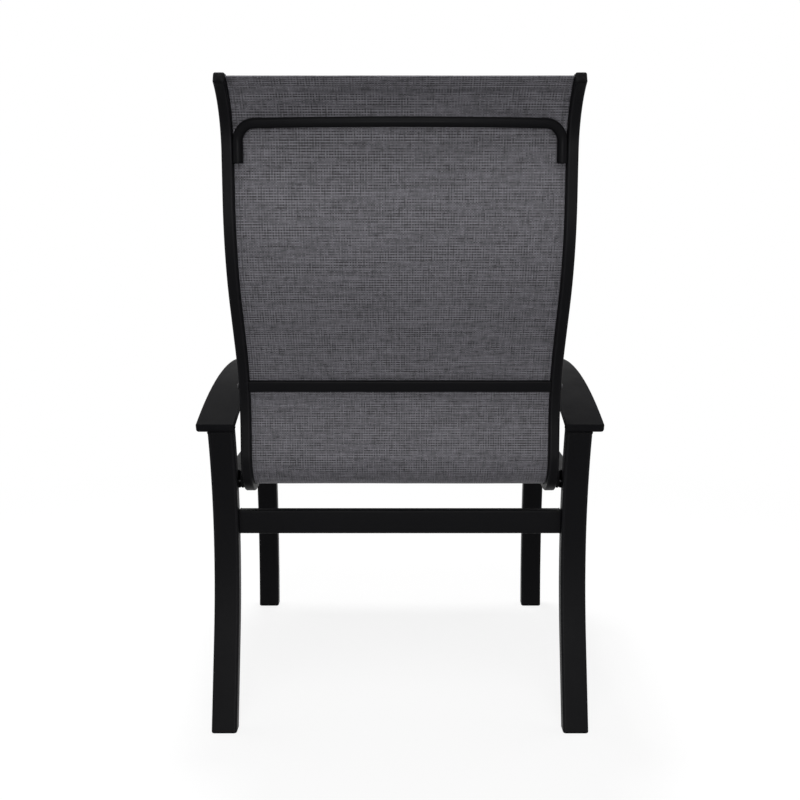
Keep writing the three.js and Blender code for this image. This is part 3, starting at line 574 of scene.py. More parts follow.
def yarn_group():
    """Weave of paired heathered yarns. The vector is in metres, across and along the cloth.

    Weft yarns lie in rows across the cloth and warp yarns in columns along it. Odd rows are lighter
    than even ones, more so in some patches, and every yarn has its own light and dark lengths.
    """
    tree = group("paired_weave",
                 inputs=(("Vector", VECTOR, None), ("Pitch", FLOAT, 0.00205)),
                 outputs=(("Tone", FLOAT), ("Height", FLOAT)))
    if tree is None:
        return bpy.data.node_groups["paired_weave"]
    start, end = node(tree, "NodeGroupInput"), node(tree, "NodeGroupOutput")
    split = node(tree, "ShaderNodeSeparateXYZ")
    feed(tree, split.inputs[0], start.outputs["Vector"])
    across = math_node(tree, "DIVIDE", split.outputs["X"], start.outputs["Pitch"])
    along = math_node(tree, "DIVIDE", split.outputs["Y"], start.outputs["Pitch"])
    column, row = math_node(tree, "FLOOR", across), math_node(tree, "FLOOR", along)

    def streak(place, index, stretch, apart, seed, detail=2.0):
        """Noise from -0.5 to 0.5 along a yarn, unlike from one yarn to the next where apart is large."""
        vector = node(tree, "ShaderNodeCombineXYZ")
        feed(tree, vector.inputs["X"], math_node(tree, "MULTIPLY", place, stretch))
        feed(tree, vector.inputs["Y"], math_node(tree, "MULTIPLY", index, apart))
        feed(tree, vector.inputs["Z"], seed)
        fleck = noise_at(tree, vector.outputs[0], scale=1.0, detail=detail, roughness=0.6)
        return math_node(tree, "SUBTRACT", fleck, 0.5)

    def odd(index):
        """0 for even yarns and 1 for odd ones."""
        rest = math_node(tree, "FRACT", math_node(tree, "MULTIPLY", index, 0.5))
        return math_node(tree, "MULTIPLY", rest, 2.0)

    def total(middle, *parts):
        """Weighted sum of (value, weight) pairs about a middle tone."""
        value = middle
        for part, weight in parts:
            value = math_node(tree, "ADD", math_node(tree, "MULTIPLY", part, weight), value)
        return value

    def blend(factor, first, second):
        """The first value where the factor is 0 and the second where it is 1."""
        made = node(tree, "ShaderNodeMix", data_type="FLOAT")
        for name, value in (("Factor", factor), ("A", first), ("B", second)):
            feed(tree, made.inputs[name], value)
        return made.outputs["Result"]

    faintest_band, warp_share = 0.12, 0.6
    turn = math_node(tree, "SUBTRACT", odd(row), 0.5)
    patches = total(0.5, (streak(across, row, stretch=0.018, apart=0.16, seed=11.3), 2.8))
    banded = math_node(tree, "MULTIPLY", turn, math_node(tree, "MAXIMUM", patches, faintest_band))
    weft = total(0.46, (banded, 1.05),
                 (streak(across, row, stretch=0.130, apart=7.31, seed=3.7, detail=4.0), 1.5),
                 (streak(across, row, stretch=0.020, apart=9.17, seed=5.9), 1.2))
    warp = total(0.62, (streak(along, column, stretch=0.150, apart=5.17, seed=21.3, detail=4.0), 4.0))
    over = odd(math_node(tree, "ADD", column, row))
    feed(tree, end.inputs["Tone"], blend(math_node(tree, "MULTIPLY", over, warp_share), weft, warp))

    def arch(value):
        """1 on the middle of a yarn or float and 0 at its edges."""
        return math_node(tree, "SINE", math_node(tree, "MULTIPLY", math_node(tree, "FRACT", value), math.pi))

    def float_height(yarn_place, float_place, low=0.45):
        """Height of a pair of yarns that arches over the pair it crosses."""
        pair = math_node(tree, "POWER", arch(math_node(tree, "MULTIPLY", yarn_place, 2.0)), 0.5)
        rise = math_node(tree, "ADD", math_node(tree, "MULTIPLY", arch(float_place), 1 - low), low)
        return math_node(tree, "MULTIPLY", pair, rise)

    feed(tree, end.inputs["Height"], blend(over, float_height(along, across), float_height(across, along)))
    return tree


def place_group(tree, made, **values):
    """Node group placed in a material, with a value for each input."""
    placed_group = node(tree, "ShaderNodeGroup", node_tree=made)
    for name, value in values.items():
        feed(tree, placed_group.inputs[name.replace("_", " ").title()], value)
    return placed_group


def new_material(name):
    """Material with its nodes and shader, or with None twice if it is already there."""
    if name in bpy.data.materials:
        return bpy.data.materials[name], None, None
    material = bpy.data.materials.new(name)
    material.use_nodes = True
    tree = material.node_tree
    tree.nodes.clear()
    shader, output = node(tree, "ShaderNodeBsdfPrincipled"), node(tree, "ShaderNodeOutputMaterial")
    tree.links.new(shader.outputs[0], output.inputs["Surface"])
    return material, tree, shader


def mix_colours(tree, factor, first, second):
    """The first colour where the factor is 0 and the second where it is 1."""
    mix = node(tree, "ShaderNodeMix", data_type="RGBA")
    for name, kind, value in (("Factor", "VALUE", factor), ("A", "RGBA", first), ("B", "RGBA", second)):
        feed(tree, next(s for s in mix.inputs if s.name == name and s.type == kind), value)
    return next(s for s in mix.outputs if s.type == "RGBA")


def darker(tone, share):
    """A colour with its red, green and blue times a share."""
    return (*(share * part for part in tone[:3]), 1)


def ranged(tree, value, low, high, new_low, new_high):
    """A value's range from low to high laid on a new one."""
    made = node(tree, "ShaderNodeMapRange")
    for name, number in (("Value", value), ("From Min", low), ("From Max", high),
                         ("To Min", new_low), ("To Max", new_high)):
        feed(tree, made.inputs[name], number)
    return made.outputs[0]


def bump(tree, shader, height, strength, distance):
    """Lets a height shape the shader's normals."""
    made = node(tree, "ShaderNodeBump")
    for name, value in (("Height", height), ("Strength", strength), ("Distance", distance)):
        feed(tree, made.inputs[name], value)
    feed(tree, shader.inputs["Normal"], made.outputs[0])


def coated(name, base, roughness, specular, grain, strength):
    """Black coat or plastic: fine grain, corners lighter with a painted highlight that also stands for a
    thinner coat, and a trace of dust.
    """
    material, tree, shader = new_material(name)
    if tree is None:
        return material
    f = sizes("chair_finishes")
    place = node(tree, "ShaderNodeTexCoord").outputs["Object"]
    corner = node(tree, "ShaderNodeAttribute", attribute_name="edge").outputs["Fac"]
    surface = place_group(tree, coat_grain_group(), vector=place, grain_scale=grain, patch_scale=14.0)
    sheen_mask = place_group(tree, edge_sheen_and_thin_coat_group(), vector=place, corner=corner, amount=0.9)
    dust = place_group(tree, dust_group(), vector=place, amount=f.dust)
    patches = surface.outputs["Patches"]
    tinted = mix_colours(tree, patches, darker(base, 0.82), tuple(base))
    # Corners lighter: a painted highlight, which also stands for a thinner coat there
    sheened = mix_colours(tree, sheen_mask.outputs["Mask"], tinted, tuple(f.sheen_and_thin_coat_edge))
    dusty = mix_colours(tree, dust.outputs["Mask"], sheened, tuple(f.dust_colour))
    feed(tree, shader.inputs["Base Color"], dusty)
    feed(tree, shader.inputs["Roughness"],
         ranged(tree, patches, *GRAIN_RANGE, roughness - 0.05, roughness + 0.05))
    feed(tree, shader.inputs["Specular IOR Level"], specular)
    bump(tree, shader, surface.outputs["Grain"], strength, distance=0.0002)
    return material


def paint():
    """Black powder coat."""
    return coated("black_powder_coat", sizes("chair_finishes").paint,
                  roughness=0.42, specular=0.036, grain=1400.0, strength=0.35)


def arm_paint():
    """The same coat on the arms, dulled by sun and use."""
    return coated("dulled_powder_coat", sizes("chair_finishes").paint,
                  roughness=0.62, specular=0.020, grain=1400.0, strength=0.45)


def plastic():
    """Black moulded plastic of the caps, glides, spacers and cords."""
    return coated("black_plastic", sizes("chair_finishes").plastic,
                  roughness=0.60, specular=0.032, grain=2600.0, strength=0.5)


def grained(name, base, dark, grain, patch, smooth, rough, strength, distance):
    """Finish of a small piece: darker in patches, and smoother or rougher from grain to grain."""
    material, tree, shader = new_material(name)
    if tree is None:
        return material
    place = node(tree, "ShaderNodeTexCoord").outputs["Object"]
    surface = place_group(tree, coat_grain_group(), vector=place, grain_scale=grain, patch_scale=patch)
    grains, patches = surface.outputs["Grain"], surface.outputs["Patches"]
    feed(tree, shader.inputs["Base Color"], mix_colours(tree, patches, darker(base, dark), tuple(base)))
    feed(tree, shader.inputs["Roughness"], ranged(tree, grains, *GRAIN_RANGE, smooth, rough))
    bump(tree, shader, grains, strength, distance)
    return material


def steel():
    """Black coated steel bolts."""
    material = grained("black_coated_steel", sizes("chair_finishes").steel, dark=0.5, grain=3200.0,
                       patch=120.0, smooth=0.30, rough=0.48, strength=0.25, distance=0.0001)
    shader = material.node_tree.nodes["Principled BSDF"]
    shader.inputs["Metallic"].default_value = 0.6
    shader.inputs["Specular IOR Level"].default_value = 0.3
    return material


def thread():
    """Polyester sewing thread."""
    return grained("sewing_thread", sizes("chair_sling").thread_colour, dark=0.6, grain=2500.0,
                   patch=90.0, smooth=0.55, rough=0.75, strength=0.5, distance=0.0002)


def cloth():
    """Heathered grey sling cloth, woven from coated yarns, with painted shade in the valleys between the
    yarns.
    """
    material, tree, shader = new_material("woven_sling_cloth")
    if tree is None:
        return material
    c = sizes("chair_sling")
    place = node(tree, "ShaderNodeUVMap", uv_map="cloth").outputs[0]
    weave = place_group(tree, yarn_group(), vector=place, pitch=c.yarn_pitch)
    height = weave.outputs["Height"]
    # Painted shade: the yarns' colour is darkened in the valleys between them, by their height
    shaded = node(tree, "ShaderNodeVectorMath", operation="SCALE")
    feed(tree, shaded.inputs[0],
         mix_colours(tree, weave.outputs["Tone"], tuple(c.dark_yarn), tuple(c.light_yarn)))
    feed(tree, shaded.inputs["Scale"], ranged(tree, height, 0.0, 0.8, 0.45, 1.0))
    feed(tree, shader.inputs["Base Color"], shaded.outputs[0])
    feed(tree, shader.inputs["Roughness"], ranged(tree, height, 0.0, 1.0, 0.80, 0.55))
    feed(tree, shader.inputs["Specular IOR Level"], 0.25)
    bump(tree, shader, height, strength=0.45, distance=0.0003)
    return material


# Operators

class CHAIR_OT_stage(bpy.types.Operator):
    """Camera behind the chair, pale floor, white surroundings and soft lamps"""
    bl_idname = "patio_chair.stage"
    bl_label = "Set the Stage"

    def execute(self, context):
        s, r = sizes("chair_stage"), sizes("chair_rails")
        scene = context.scene
        scene.view_settings.view_transform = "Standard"
        camera = bpy.data.objects.new("camera", bpy.data.cameras.new("camera"))
        camera.data.lens = s.lens
        camera.data.sensor_width = s.sensor
        camera.data.sensor_fit = "HORIZONTAL"
        camera.location = (0, r.rear_line + s.distance, s.height)
        camera.rotation_euler = (QUARTER - s.pitch, 0, math.pi)
        context.collection.objects.link(camera)
        scene.camera = camera

        world = bpy.data.worlds.new("even_light")
        world.use_nodes = True
        tree = world.node_tree
        tree.nodes.clear()
        background, output = node(tree, "ShaderNodeBackground"), node(tree, "ShaderNodeOutputWorld")
        background.inputs["Color"].default_value = (1, 1, 1, 1)
        tree.links.new(math_node(tree, "MAXIMUM", self.seen(tree), s.sky), background.inputs["Strength"])
        tree.links.new(background.outputs[0], output.inputs["Surface"])
        scene.world = world

        floor = bpy.data.objects.new("floor", bpy.data.meshes.new("floor"))
        bm = bmesh.new()
        bmesh.ops.create_circle(bm, cap_ends=True, segments=64, radius=s.floor_radius)
        bm.to_mesh(floor.data)
        bm.free()
        context.collection.objects.link(floor)
        floor.data.materials.append(self.floor_material(s))

        for lamp in LAMPS:
            self.lamp(s, *lamp)
        return {"FINISHED"}

    @staticmethod
    def seen(tree):
        """1 for rays from the camera, from gloss and through glass, and 0 for the rest."""
        path = node(tree, "ShaderNodeLightPath")
        gloss = math_node(tree, "MAXIMUM", path.outputs["Is Camera Ray"], path.outputs["Is Glossy Ray"])
        return math_node(tree, "MAXIMUM", gloss, path.outputs["Is Transmission Ray"])

    def floor_material(self, s):
        """Pale floor that looks white and keeps a soft shadow near the chair."""
        material = bpy.data.materials.new("pale_floor")
        material.use_nodes = True
        tree = material.node_tree
        tree.nodes.clear()
        shaded, white = node(tree, "ShaderNodeBsdfDiffuse"), node(tree, "ShaderNodeEmission")
        mix, output = node(tree, "ShaderNodeMixShader"), node(tree, "ShaderNodeOutputMaterial")
        seen = self.seen(tree)
        feed(tree, shaded.inputs["Color"],
             mix_colours(tree, seen, tuple(s.floor_colour), tuple(s.floor_seen)))
        from_middle = node(tree, "ShaderNodeVectorMath", operation="LENGTH")
        feed(tree, from_middle.inputs[0], node(tree, "ShaderNodeTexCoord").outputs["Object"])
        kept = ranged(tree, from_middle.outputs["Value"], 0.5 * s.shadow_reach, s.shadow_reach,
                      s.shadow_share, 0.0)
        whiteness = math_node(tree, "SUBTRACT", 1.0, kept)
        feed(tree, mix.inputs[0], math_node(tree, "MULTIPLY", seen, whiteness))
        feed(tree, mix.inputs[1], shaded.outputs[0])
        feed(tree, mix.inputs[2], white.outputs[0])
        feed(tree, output.inputs["Surface"], mix.outputs[0])
        return material

    @staticmethod
    def lamp(s, name, strength, elevation, azimuth, distance, size):
        """Round lamp that points at the chair's middle."""
        light = bpy.data.lights.new(name, "AREA")
        light.shape = "DISK"
        light.size = size
        light.energy = getattr(s, strength)
        lamp = bpy.data.objects.new(name, light)
        high, round_chair = math.radians(elevation), math.radians(azimuth)
        level = math.cos(high)
        way = Vector((level * math.sin(round_chair), level * math.cos(round_chair), math.sin(high)))
        lamp.location = Vector((0, 0, s.aim)) + distance * way
        lamp.rotation_euler = way.to_track_quat("Z", "Y").to_euler()
        bpy.context.collection.objects.link(lamp)


class CHAIR_OT_rails(bpy.types.Operator):
    """Seat rails with their slots, and the caps on their ends"""
    bl_idname = "patio_chair.rails"
    bl_label = "Build the Seat Rails"

    def execute(self, context):
        r = sizes("chair_rails")
        path = rail_path()
        centre = r.outer_face - r.width / 2
        outline = self.outline(r)
        for name, side in SIDES:
            rail = sweep(f"smooth_rail_{name}", path, path.stops(), centre, outline, side)
            dress(rail, paint(), "frame", f"seat_rail_{name}")
            for end, distance, outward in (("top", path.length, 1), ("front", 0.0, -1)):
                cap = self.cap(f"{end}_cap_{name}", path.at(distance), r, centre, outward, side)
                dress(cap, plastic(), "plastic", f"rail_{end}_cap_{name}")
        return {"FINISHED"}

    @staticmethod
    def outline(r):
        """The rail's rounded square, with the slot's raised lips and the cavity behind them."""
        face, mouth, cavity, ease = -r.width / 2, r.slot / 2, r.cavity / 2, r.lip_rounding
        tip = face - r.lip
        square = rounded(face, -face, -r.setback, r.depth - r.setback, [r.corner] * 4)
        lip = [(face, mouth + 3.5 * ease, 0), (tip + ease, mouth + 3 * ease, 1),
               (tip, mouth + 2 * ease, 1), (tip, mouth + ease, 1), (tip + ease, mouth, 1)]
        centre, steps = face + r.wall + cavity, 14
        start = math.pi - math.asin(mouth / cavity)
        slot = list(lip)
        for step in range(steps + 1):
            turn = start * (1 - 2 * step / steps)
            slot.append((centre + cavity * math.cos(turn), cavity * math.sin(turn), 0))
        slot += [(across, -up, edge) for across, up, edge in reversed(lip)]
        return square + slot

    @staticmethod
    def cap(name, station, r, centre, outward, side):
        """Domed plastic cap with a thin shadow line against the rail."""
        least_corner, narrowing, steps = 0.0008, 0.3, 5
        half, low, high = r.width / 2, -r.setback, r.depth - r.setback
        shoulder = GAP + r.cap_thickness - r.cap_rounding
        layers = [(r.cap_groove, 0.0), (0.0, GAP), (0.0, shoulder)]
        for step in range(1, steps + 1):
            turn = QUARTER * step / steps
            layers.append((r.cap_rounding * (1 - math.cos(turn)), shoulder + r.cap_rounding * math.sin(turn)))
        rings = []
        for inset, reach in layers:
            corner = max(r.corner - narrowing * inset, least_corner)
            outline = rounded(inset - half, half - inset, low + inset, high - inset, [corner] * 4)
            rings.append([placed(station, centre + across, up, outward * reach) for across, up, _ in outline])
        return build(name, rings, side=side, weights=[point[2] for point in outline])


class CHAIR_OT_sling(bpy.types.Operator):
    """Woven sling with its hems, side seams and stitches, and the cords in its edges"""
    bl_idname = "patio_chair.sling"
    bl_label = "Stretch the Sling"

    def execute(self, context):
        r, c = sizes("chair_rails"), sizes("chair_sling")
        self.path = rail_path()
        self.inner = r.outer_face - r.width
        self.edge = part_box("sling")[1].x
        self.seat_start, self.seat_run = self.path.runs[SEAT_RUN][:2]
        self.first, self.last = c.end_inset, self.path.length - c.end_inset
        stops, columns = self.stops(c), self.columns()
        rings = []
        for stop in stops:
            half = self.half_thickness(stop, c)
            station = self.path.at(stop)
            lower = [self.point(station, stop, across, -half, c) for across in columns]
            upper = [self.point(station, stop, across, half, c) for across in reversed(columns)]
            rings.append(lower + upper)

        def uvs(ring_place, point_place):
            """Metres across and along the cloth, the same on its two faces and never negative."""
            if point_place >= len(columns):
                point_place = 2 * len(columns) - 1 - point_place
            return columns[point_place] + 0.5, stops[ring_place]

        sling = build("sling_cloth", rings, uvs=uvs, sharp=SHARP_CLOTH)
        dress(sling, cloth(), "sling", "sling")
        stitches = self.stitches(c)
        dress(stitches, thread(), "sling")
        self.cords(c)
        return {"FINISHED"}

    def cords(self, c):
        """The round cords inside the rails' cavities."""
        low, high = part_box("edge_cord_left")
        within = [stop for stop in self.path.stops() if self.first < stop < self.last]
        stops = [self.first + GAP, *within, self.last - GAP]
        middle, outline = (low.x + high.x) / 2, circle(c.cord / 2, sides=12)
        for name, side in SIDES:
            cord = sweep(f"cord_{name}", self.path, stops, middle, outline, side)
            dress(cord, plastic(), "plastic", f"edge_cord_{name}")

    def stops(self, c):
        """Distances along the path, closer together at the rounded ends and where the hems step down."""
        margin, closest = 0.002, 0.0002
        found = {self.first, self.last}
        for offset in (0.0003, 0.0008, 0.0016, c.hem - 0.0015, c.hem, c.hem + 0.0008, c.hem + 0.0022):
            found |= {self.first + offset, self.last - offset}
        even = self.path.stops(step=math.radians(2.5), longest=0.012)
        found |= {stop for stop in even if self.first + margin < stop < self.last - margin}
        ordered = sorted(found)
        return ordered[:1] + [stop for before, stop in zip(ordered, ordered[1:]) if stop - before > closest]

    def columns(self):
        """Places across the cloth: even between the rails, then two beside the slot and the hidden edge."""
        count = 26
        even = [self.inner * step / count for step in range(count)]
        half = [*even, self.inner - 0.0035, self.inner - 0.0005, self.edge]
        return [-x for x in reversed(half[1:])] + half

    def half_thickness(self, stop, c):
        """Half the cloth's thickness: doubled in the hems and rounded at the two ends."""
        bluntness = 0.03
        from_end = min(stop - self.first, self.last - stop)
        share = min(max((from_end - c.hem) / HEM_RAMP, 0.0), 1.0)
        half = (c.hem_thickness * (1 - share) + c.thickness * share) / 2
        rounding = c.hem_thickness / 2
        if from_end < rounding:
            half *= math.sqrt(max(1 - (1 - from_end / rounding) ** 2, bluntness))
        return half

    def point(self, station, stop, across, half, c):
        """Point on one face of the cloth, with the seat's sag and a slight ripple."""
        if abs(across) > self.inner - SLOT_MARGIN:
            half = math.copysign(c.thickness / 2, half)
        share = (stop - self.seat_start) / self.seat_run
        sag = 0.0
        if 0 < share < 1:
            sag = c.sag * math.sin(math.pi * share) ** 2 * (1 - (across / self.edge) ** 2)
        taper = max(0.0, 1 - (across / self.inner) ** 4)
        broad = noise.noise(Vector((across * 7, stop * 9, 4.1)))
        fine = noise.noise(Vector((across * 21, stop * 17, 9.7)))
        return placed(station, across, half - sag + c.ripple * taper * (broad + 0.5 * fine))

    def stitches(self, c):
        """Rows of stitches across both hems and along both side seams, on both faces."""
        seam = self.inner - c.seam_inset
        places = []
        for end, way in ((self.first, 1), (self.last, -1)):
            for inset in (c.hem - c.hem_seam, c.hem - c.hem_seam - c.hem_seam_gap):
                count = int(2 * seam / c.stitch)
                places += [(-seam + 2 * seam * (place + 0.5) / count, end + way * inset, False)
                           for place in range(count)]
        run = self.last - self.first - 2 * c.seam_end
        for across in (-seam, seam):
            count = int(run / c.stitch)
            places += [(across, self.first + c.seam_end + run * (place + 0.5) / count, True)
                       for place in range(count)]
        bm = bmesh.new()
        for across, stop, along in places:
            station = self.path.at(stop)
            half = self.half_thickness(stop, c)
            way, side_way = (station[1], Vector((1, 0, 0))) if along else (Vector((1, 0, 0)), station[1])
            for face in (-1, 1):
                middle = self.point(station, stop, across, face * half, c)
                self.one_stitch(bm, middle, way, side_way, station[2] * face, c)
        mesh = bpy.data.meshes.new("stitches")
        bm.to_mesh(mesh)
        bm.free()
        return place_object("stitches", mesh)

    @staticmethod
    def one_stitch(bm, middle, way, side_way, up, c):
        """A short thread that dips into the cloth at both ends. The numbers are shares of its size."""
        arch, sunk, thinning, reach, sides = 0.30, 0.12, 0.55, 0.42, 6
        rows = []
        for place in (-1.0, -0.7, 0.0, 0.7, 1.0):
            lift = c.thread * (arch * (1 - place ** 4) - sunk)
            radius = c.thread / 2 * (1 - thinning * place ** 6)
            centre = middle + way * place * c.stitch * reach + up * lift
            rows.append([bm.verts.new(centre + side_way * right + up * high)
                         for right, high, _ in circle(radius, sides)])
        for row, next_row in zip(rows, rows[1:]):
            for here in range(sides):
                there = (here + 1) % sides
                bm.faces.new((row[here], row[there], next_row[there], next_row[here])).smooth = True
        bm.faces.new(list(reversed(rows[0])))
        bm.faces.new(rows[-1])


class LegShape:
    """One leg's path, its stops and the slopes of its two ends."""

    def __init__(self, end):
        f, r = sizes("chair_frame"), sizes("chair_rails")
        radius, height, setback, splay = {
            "front": (f.front_radius, f.front_apex_height, f.front_apex_setback, 0.0),
            "rear": (f.rear_radius, f.rear_apex_height, f.rear_apex_setback, f.rear_splay)}[end]
        straight = height - radius * math.sin(splay) - f.foot_height if splay > 0 else 0.0
        lean = splay if straight > 0 else math.asin((height - f.foot_height) / radius)
        # The bend turns further than any leg reaches, and no straight run is quite 0 long
        bend_turn, shortest, pieces = -1.05, 1e-6, 40
        lower_run = max(straight / math.cos(lean), shortest)
        self.path = BentPath(QUARTER + lean, [(0, lower_run), (radius, bend_turn)])
        bend = self.path.runs[1][0]
        self.path.anchor(bend + radius * lean, r.rear_line - setback, height)
        self.frame = f
        self.crest = r.rear_line - f.arm_crest_setback
        self.top = solve(bend, self.path.length, lambda stop: self.above(self.path.at(stop)[0]), 0)
        stops = [bend + (self.top - bend) * piece / pieces for piece in range(pieces + 1)]
        self.stops = [0.0] + [stop for stop in stops if stop > 100 * shortest]
        _, direction, inward = self.path.at(0)
        self.foot_slope = -inward.z / direction.z
        station = self.path.at(self.top)
        reach = solve(-f.leg_depth, f.leg_depth,
                      lambda slide: self.above(placed(station, 0, f.leg_depth, slide)), 0)
        self.top_slope = reach / f.leg_depth

    def above(self, point):
        """Height of a point above the arm's underside, less the gap between them."""
        f = self.frame
        along = point.y - self.crest
        underside = math.sqrt((f.arm_radius - f.arm_thickness) ** 2 - along ** 2)
        return point.z - (f.arm_crest_height - f.arm_radius + underside) + GAP


class CHAIR_OT_legs(bpy.types.Operator):
    """Curved legs, the welds under the arms and the glides under the feet"""
    bl_idname = "patio_chair.legs"
    bl_label = "Build the Legs"

    def execute(self, context):
        f = sizes("chair_frame")
        centre = f.leg_outer - f.leg_width / 2
        outline = self.outline(f, 0.0)
        for end in ("rear", "front"):
            shape = LegShape(end)
            for name, side in SIDES:
                leg = sweep(f"smooth_{end}_leg_{name}", shape.path, shape.stops, centre, outline, side,
                            shape.foot_slope, shape.top_slope)
                dress(leg, paint(), "frame", f"{end}_leg_{name}")
                station, slope = shape.path.at(shape.top - GAP), shape.top_slope
                loop = [placed(station, centre + across, up, slope * up) for across, up, _ in outline]
                dress(bead(f"{end}_arm_weld_{name}", loop, f.weld, side), paint(), "frame")
                glide = self.glide(f"glide_{end}_{name}", shape, side, centre, f)
                dress(glide, plastic(), "plastic", f"{end}_foot_glide_{name}")
        return {"FINISHED"}

    @staticmethod
    def outline(f, inset):
        """The leg's rounded oblong, drawn in by an inset."""
        half = f.leg_width / 2 - inset
        return rounded(-half, half, inset, f.leg_depth - inset, [f.leg_corner] * 4, steps=6)

    def glide(self, name, shape, side, centre, f):
        """Glide in a leg's end, with a rounded lower rim and a thin shadow line against the leg."""
        steps = 6
        station = shape.path.at(0)
        pad = f.foot_height - GAP
        layers = [(f.foot_sole, 0.0)]
        for step in range(1, steps + 1):
            turn = QUARTER * step / steps
            layers.append((f.foot_rim * (1 - math.sin(turn)), f.foot_rim * (1 - math.cos(turn))))
        layers += [(0.0, pad - f.foot_groove), (f.foot_groove, pad)]
        rings = []
        for inset, height in layers:
            outline = self.outline(f, inset)
            ring = [placed(station, centre + across, up, shape.foot_slope * up) for across, up, _ in outline]
            rings.append([Vector((point.x, point.y, height)) for point in ring])
        return build(name, rings, side=side, weights=[point[2] for point in outline])


class CHAIR_OT_arms(bpy.types.Operator):
    """Flat arms arched over the legs"""
    bl_idname = "patio_chair.arms"
    bl_label = "Build the Arms"

    def execute(self, context):
        f, r = sizes("chair_frame"), sizes("chair_rails")
        outer = f.leg_outer + f.arm_overhang
        outline = rounded(outer - f.arm_width, outer, -f.arm_thickness, 0,
                          [f.arm_low_corner] * 2 + [f.arm_top_corner] * 2, steps=6)
        middle_y, middle_z = r.rear_line - f.arm_crest_setback, f.arm_crest_height - f.arm_radius
        rear = math.asin((f.arm_crest_setback - f.arm_rear) / f.arm_radius)
        front = math.asin((f.arm_crest_setback - f.arm_front) / f.arm_radius)
        steps = 60
        rings = []
        for step in range(steps + 1):
            turn = rear + (front - rear) * step / steps
            rings.append([Vector((across, middle_y + (f.arm_radius + up) * math.sin(turn),
                                  middle_z + (f.arm_radius + up) * math.cos(turn)))
                          for across, up, _ in outline])
        for name, side in SIDES:
            arm = build(f"smooth_arm_{name}", rings, side=side, weights=[point[2] for point in outline])
            soften(arm, f.arm_end_rounding, segments=3)
            dress(arm, arm_paint(), "frame", f"arm_{name}")
        return {"FINISHED"}


class CHAIR_OT_braces(bpy.types.Operator):
    """Bent top brace between the seat rails"""
    bl_idname = "patio_chair.braces"
    bl_label = "Build the Top Brace"

    def execute(self, context):
        f, r = sizes("chair_frame"), sizes("chair_rails")
        radius = f.brace_diameter / 2
        axis = self.axis(f, r, radius)
        rings = []
        for before, place, after in zip(axis[:1] + axis, axis, axis[1:] + axis[-1:]):
            direction = (after - before).normalized()
            across = direction.cross(Vector((0, 1, 0))).normalized()
            back = across.cross(direction)
            rings.append([place + across * a + back * b for a, b, _ in circle(radius, sides=32)])
        first_mouth = self.mouth(rings[0], axis[0], axis[1] - axis[0], f)
        last_mouth = self.mouth(rings[-1], axis[-1], axis[-2] - axis[-1], f)
        brace = build("bent_top_brace", [*reversed(first_mouth), *rings, *last_mouth])
        soften(brace, f.brace_end_rounding, segments=1)
        dress(brace, paint(), "frame", "top_brace")
        return {"FINISHED"}

    @staticmethod
    def axis(f, r, radius):
        """Middle line of the tube: up a turned-down end, round a corner, across, and the same back."""
        path = rail_path()
        half = r.outer_face - r.width - GAP - radius
        upright = path.runs[UPRIGHT_RUN][0]
        back = f.cloth_half + f.brace_gap + radius

        def point(x, drop):
            """Middle of the tube behind the cloth, at x and a drop below the tube's level run."""
            height = r.low_height + f.brace_rise - drop
            stop = solve(upright, path.length, lambda distance: path.at(distance)[0].z, height)
            place, _, inward = path.at(stop)
            return Vector((x, place.y - back * inward.y + f.brace_bow * (1 - (x / half) ** 2), height))

        end_steps, corner_steps, level_steps = 4, 16, 24
        bend, level = f.brace_radius, half - f.brace_radius
        line = [point(half, f.brace_end + (bend - f.brace_end) * step / end_steps)
                for step in range(end_steps)]
        for step in range(corner_steps + 1):
            turn = QUARTER * step / corner_steps
            line.append(point(half - bend * (1 - math.cos(turn)), bend * (1 - math.sin(turn))))
        line += [point(level * (1 - step / level_steps), 0) for step in range(1, level_steps + 1)]
        return line + [Vector((-place.x, place.y, place.z)) for place in reversed(line[:-1])]

    @staticmethod
    def mouth(ring, centre, inward, f):
        """The inner edge of an open end and the bottom of its hollow."""
        share = 1 - 2 * f.brace_wall / f.brace_diameter
        edge = [centre + (point - centre) * share for point in ring]
        return edge, [point + inward.normalized() * f.brace_hollow for point in edge]


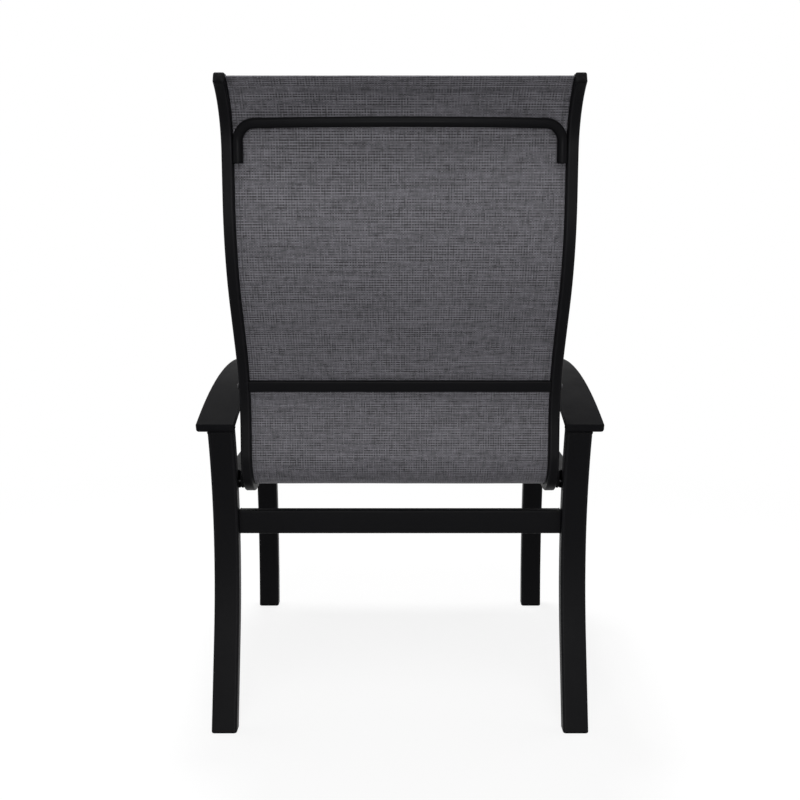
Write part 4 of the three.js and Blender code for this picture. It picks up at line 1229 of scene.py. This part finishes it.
class CHAIR_OT_base(bpy.types.Operator):
    """Finishes the straight tubes, bars, spacers and bolts, and adds the base's welds"""
    bl_idname = "patio_chair.base"
    bl_label = "Finish the Base"

    def execute(self, context):
        f = sizes("chair_frame")
        for name in ("mid_brace", "seat_brace", "rear_stretcher", "front_stretcher",
                     "side_rail_left", "side_rail_right"):
            self.refinish(name, paint())
        for name, _ in SIDES:
            for end in ("front", "rear"):
                self.refinish(f"{end}_spacer_{name}", plastic())
            for bolt in ("front_rail", "rear_rail", "mid_brace", "seat_brace"):
                self.refinish(f"{bolt}_bolt_{name}", steel())
        for end in ("rear", "front"):
            loop = self.stretcher_loop(end, f)
            for name, side in SIDES:
                dress(bead(f"{end}_stretcher_weld_{name}", loop, f.weld, side), paint(), "frame")
        for end in ("rear", "front"):
            loop = self.side_rail_loop(end, f)
            for name, side in SIDES:
                dress(bead(f"{end}_side_weld_{name}", loop, f.weld, side), paint(), "frame")
        return {"FINISHED"}

    @staticmethod
    def refinish(name, material):
        """New finish on a solid that keeps its own shape."""
        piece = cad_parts[name]
        for slot in piece.material_slots:
            slot.material = material

    @staticmethod
    def stretcher_loop(end, f):
        """Line round a stretcher's end, on the leg's inner face."""
        low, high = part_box(f"{end}_stretcher")
        sunk, inset = 0.2 * f.weld, WELD_INSET * f.weld
        outline = rounded(low.y + inset, high.y - inset, low.z + inset, high.z - inset,
                          [f.stretcher_corner] * 4)
        return [Vector((high.x - sunk, y, z)) for y, z, _ in outline]

    @staticmethod
    def side_rail_loop(end, f):
        """Line round a side rail's end, on the leg's curved face."""
        shape = LegShape(end)
        low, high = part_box("side_rail_left")
        depth, gap = (f.leg_depth, -GAP) if end == "rear" else (0.0, GAP)
        inset = WELD_INSET * f.weld
        outline = rounded(low.x + inset, high.x - inset, low.z + inset, high.z - inset,
                          [f.side_rail_corner] * 4)

        def face(stop):
            """The leg's front or rear face at a distance along its path."""
            return placed(shape.path.at(stop), 0, depth)

        return [Vector((x, face(solve(0, shape.top, lambda stop: face(stop).z, z)).y + gap, z))
                for x, z, _ in outline]


class CHAIR_PT_sidebar(bpy.types.Panel):
    """Lists the chair's building steps and sizes"""
    bl_idname = "CHAIR_PT_sidebar"
    bl_label = "Sling Patio Chair"
    bl_space_type = "VIEW_3D"
    bl_region_type = "UI"
    bl_category = "Patio Chair"

    def draw(self, context):
        for operator in OPERATORS:
            self.layout.operator(operator.bl_idname)
        for name, sizes_class in GROUPS.items():
            box = self.layout.box()
            box.label(text=sizes_class.__doc__)
            for prop in sizes_class.__annotations__:
                box.prop(getattr(context.scene, name), prop)


# In the order in which main() calls them
OPERATORS = (CHAIR_OT_stage, CHAIR_OT_rails, CHAIR_OT_sling, CHAIR_OT_legs, CHAIR_OT_arms,
             CHAIR_OT_braces, CHAIR_OT_base)
CLASSES = (*GROUPS.values(), *OPERATORS, CHAIR_PT_sidebar)


def register():
    """Adds the groups of sizes, the operators and the panel to Blender."""
    for made in CLASSES:
        bpy.utils.register_class(made)
    for name, made in GROUPS.items():
        setattr(bpy.types.Scene, name, PointerProperty(type=made))


def unregister():
    """Takes them out again."""
    for name in GROUPS:
        delattr(bpy.types.Scene, name)
    for made in reversed(CLASSES):
        bpy.utils.unregister_class(made)


def main():
    """Builds the whole scene."""
    register()
    for step in OPERATORS:
        family, name = step.bl_idname.split(".")
        if getattr(getattr(bpy.ops, family), name)() != {"FINISHED"}:
            raise RuntimeError(f"{step.bl_label} did not finish")
    bpy.context.view_layer.update()


if __name__ == "__main__":
    main()
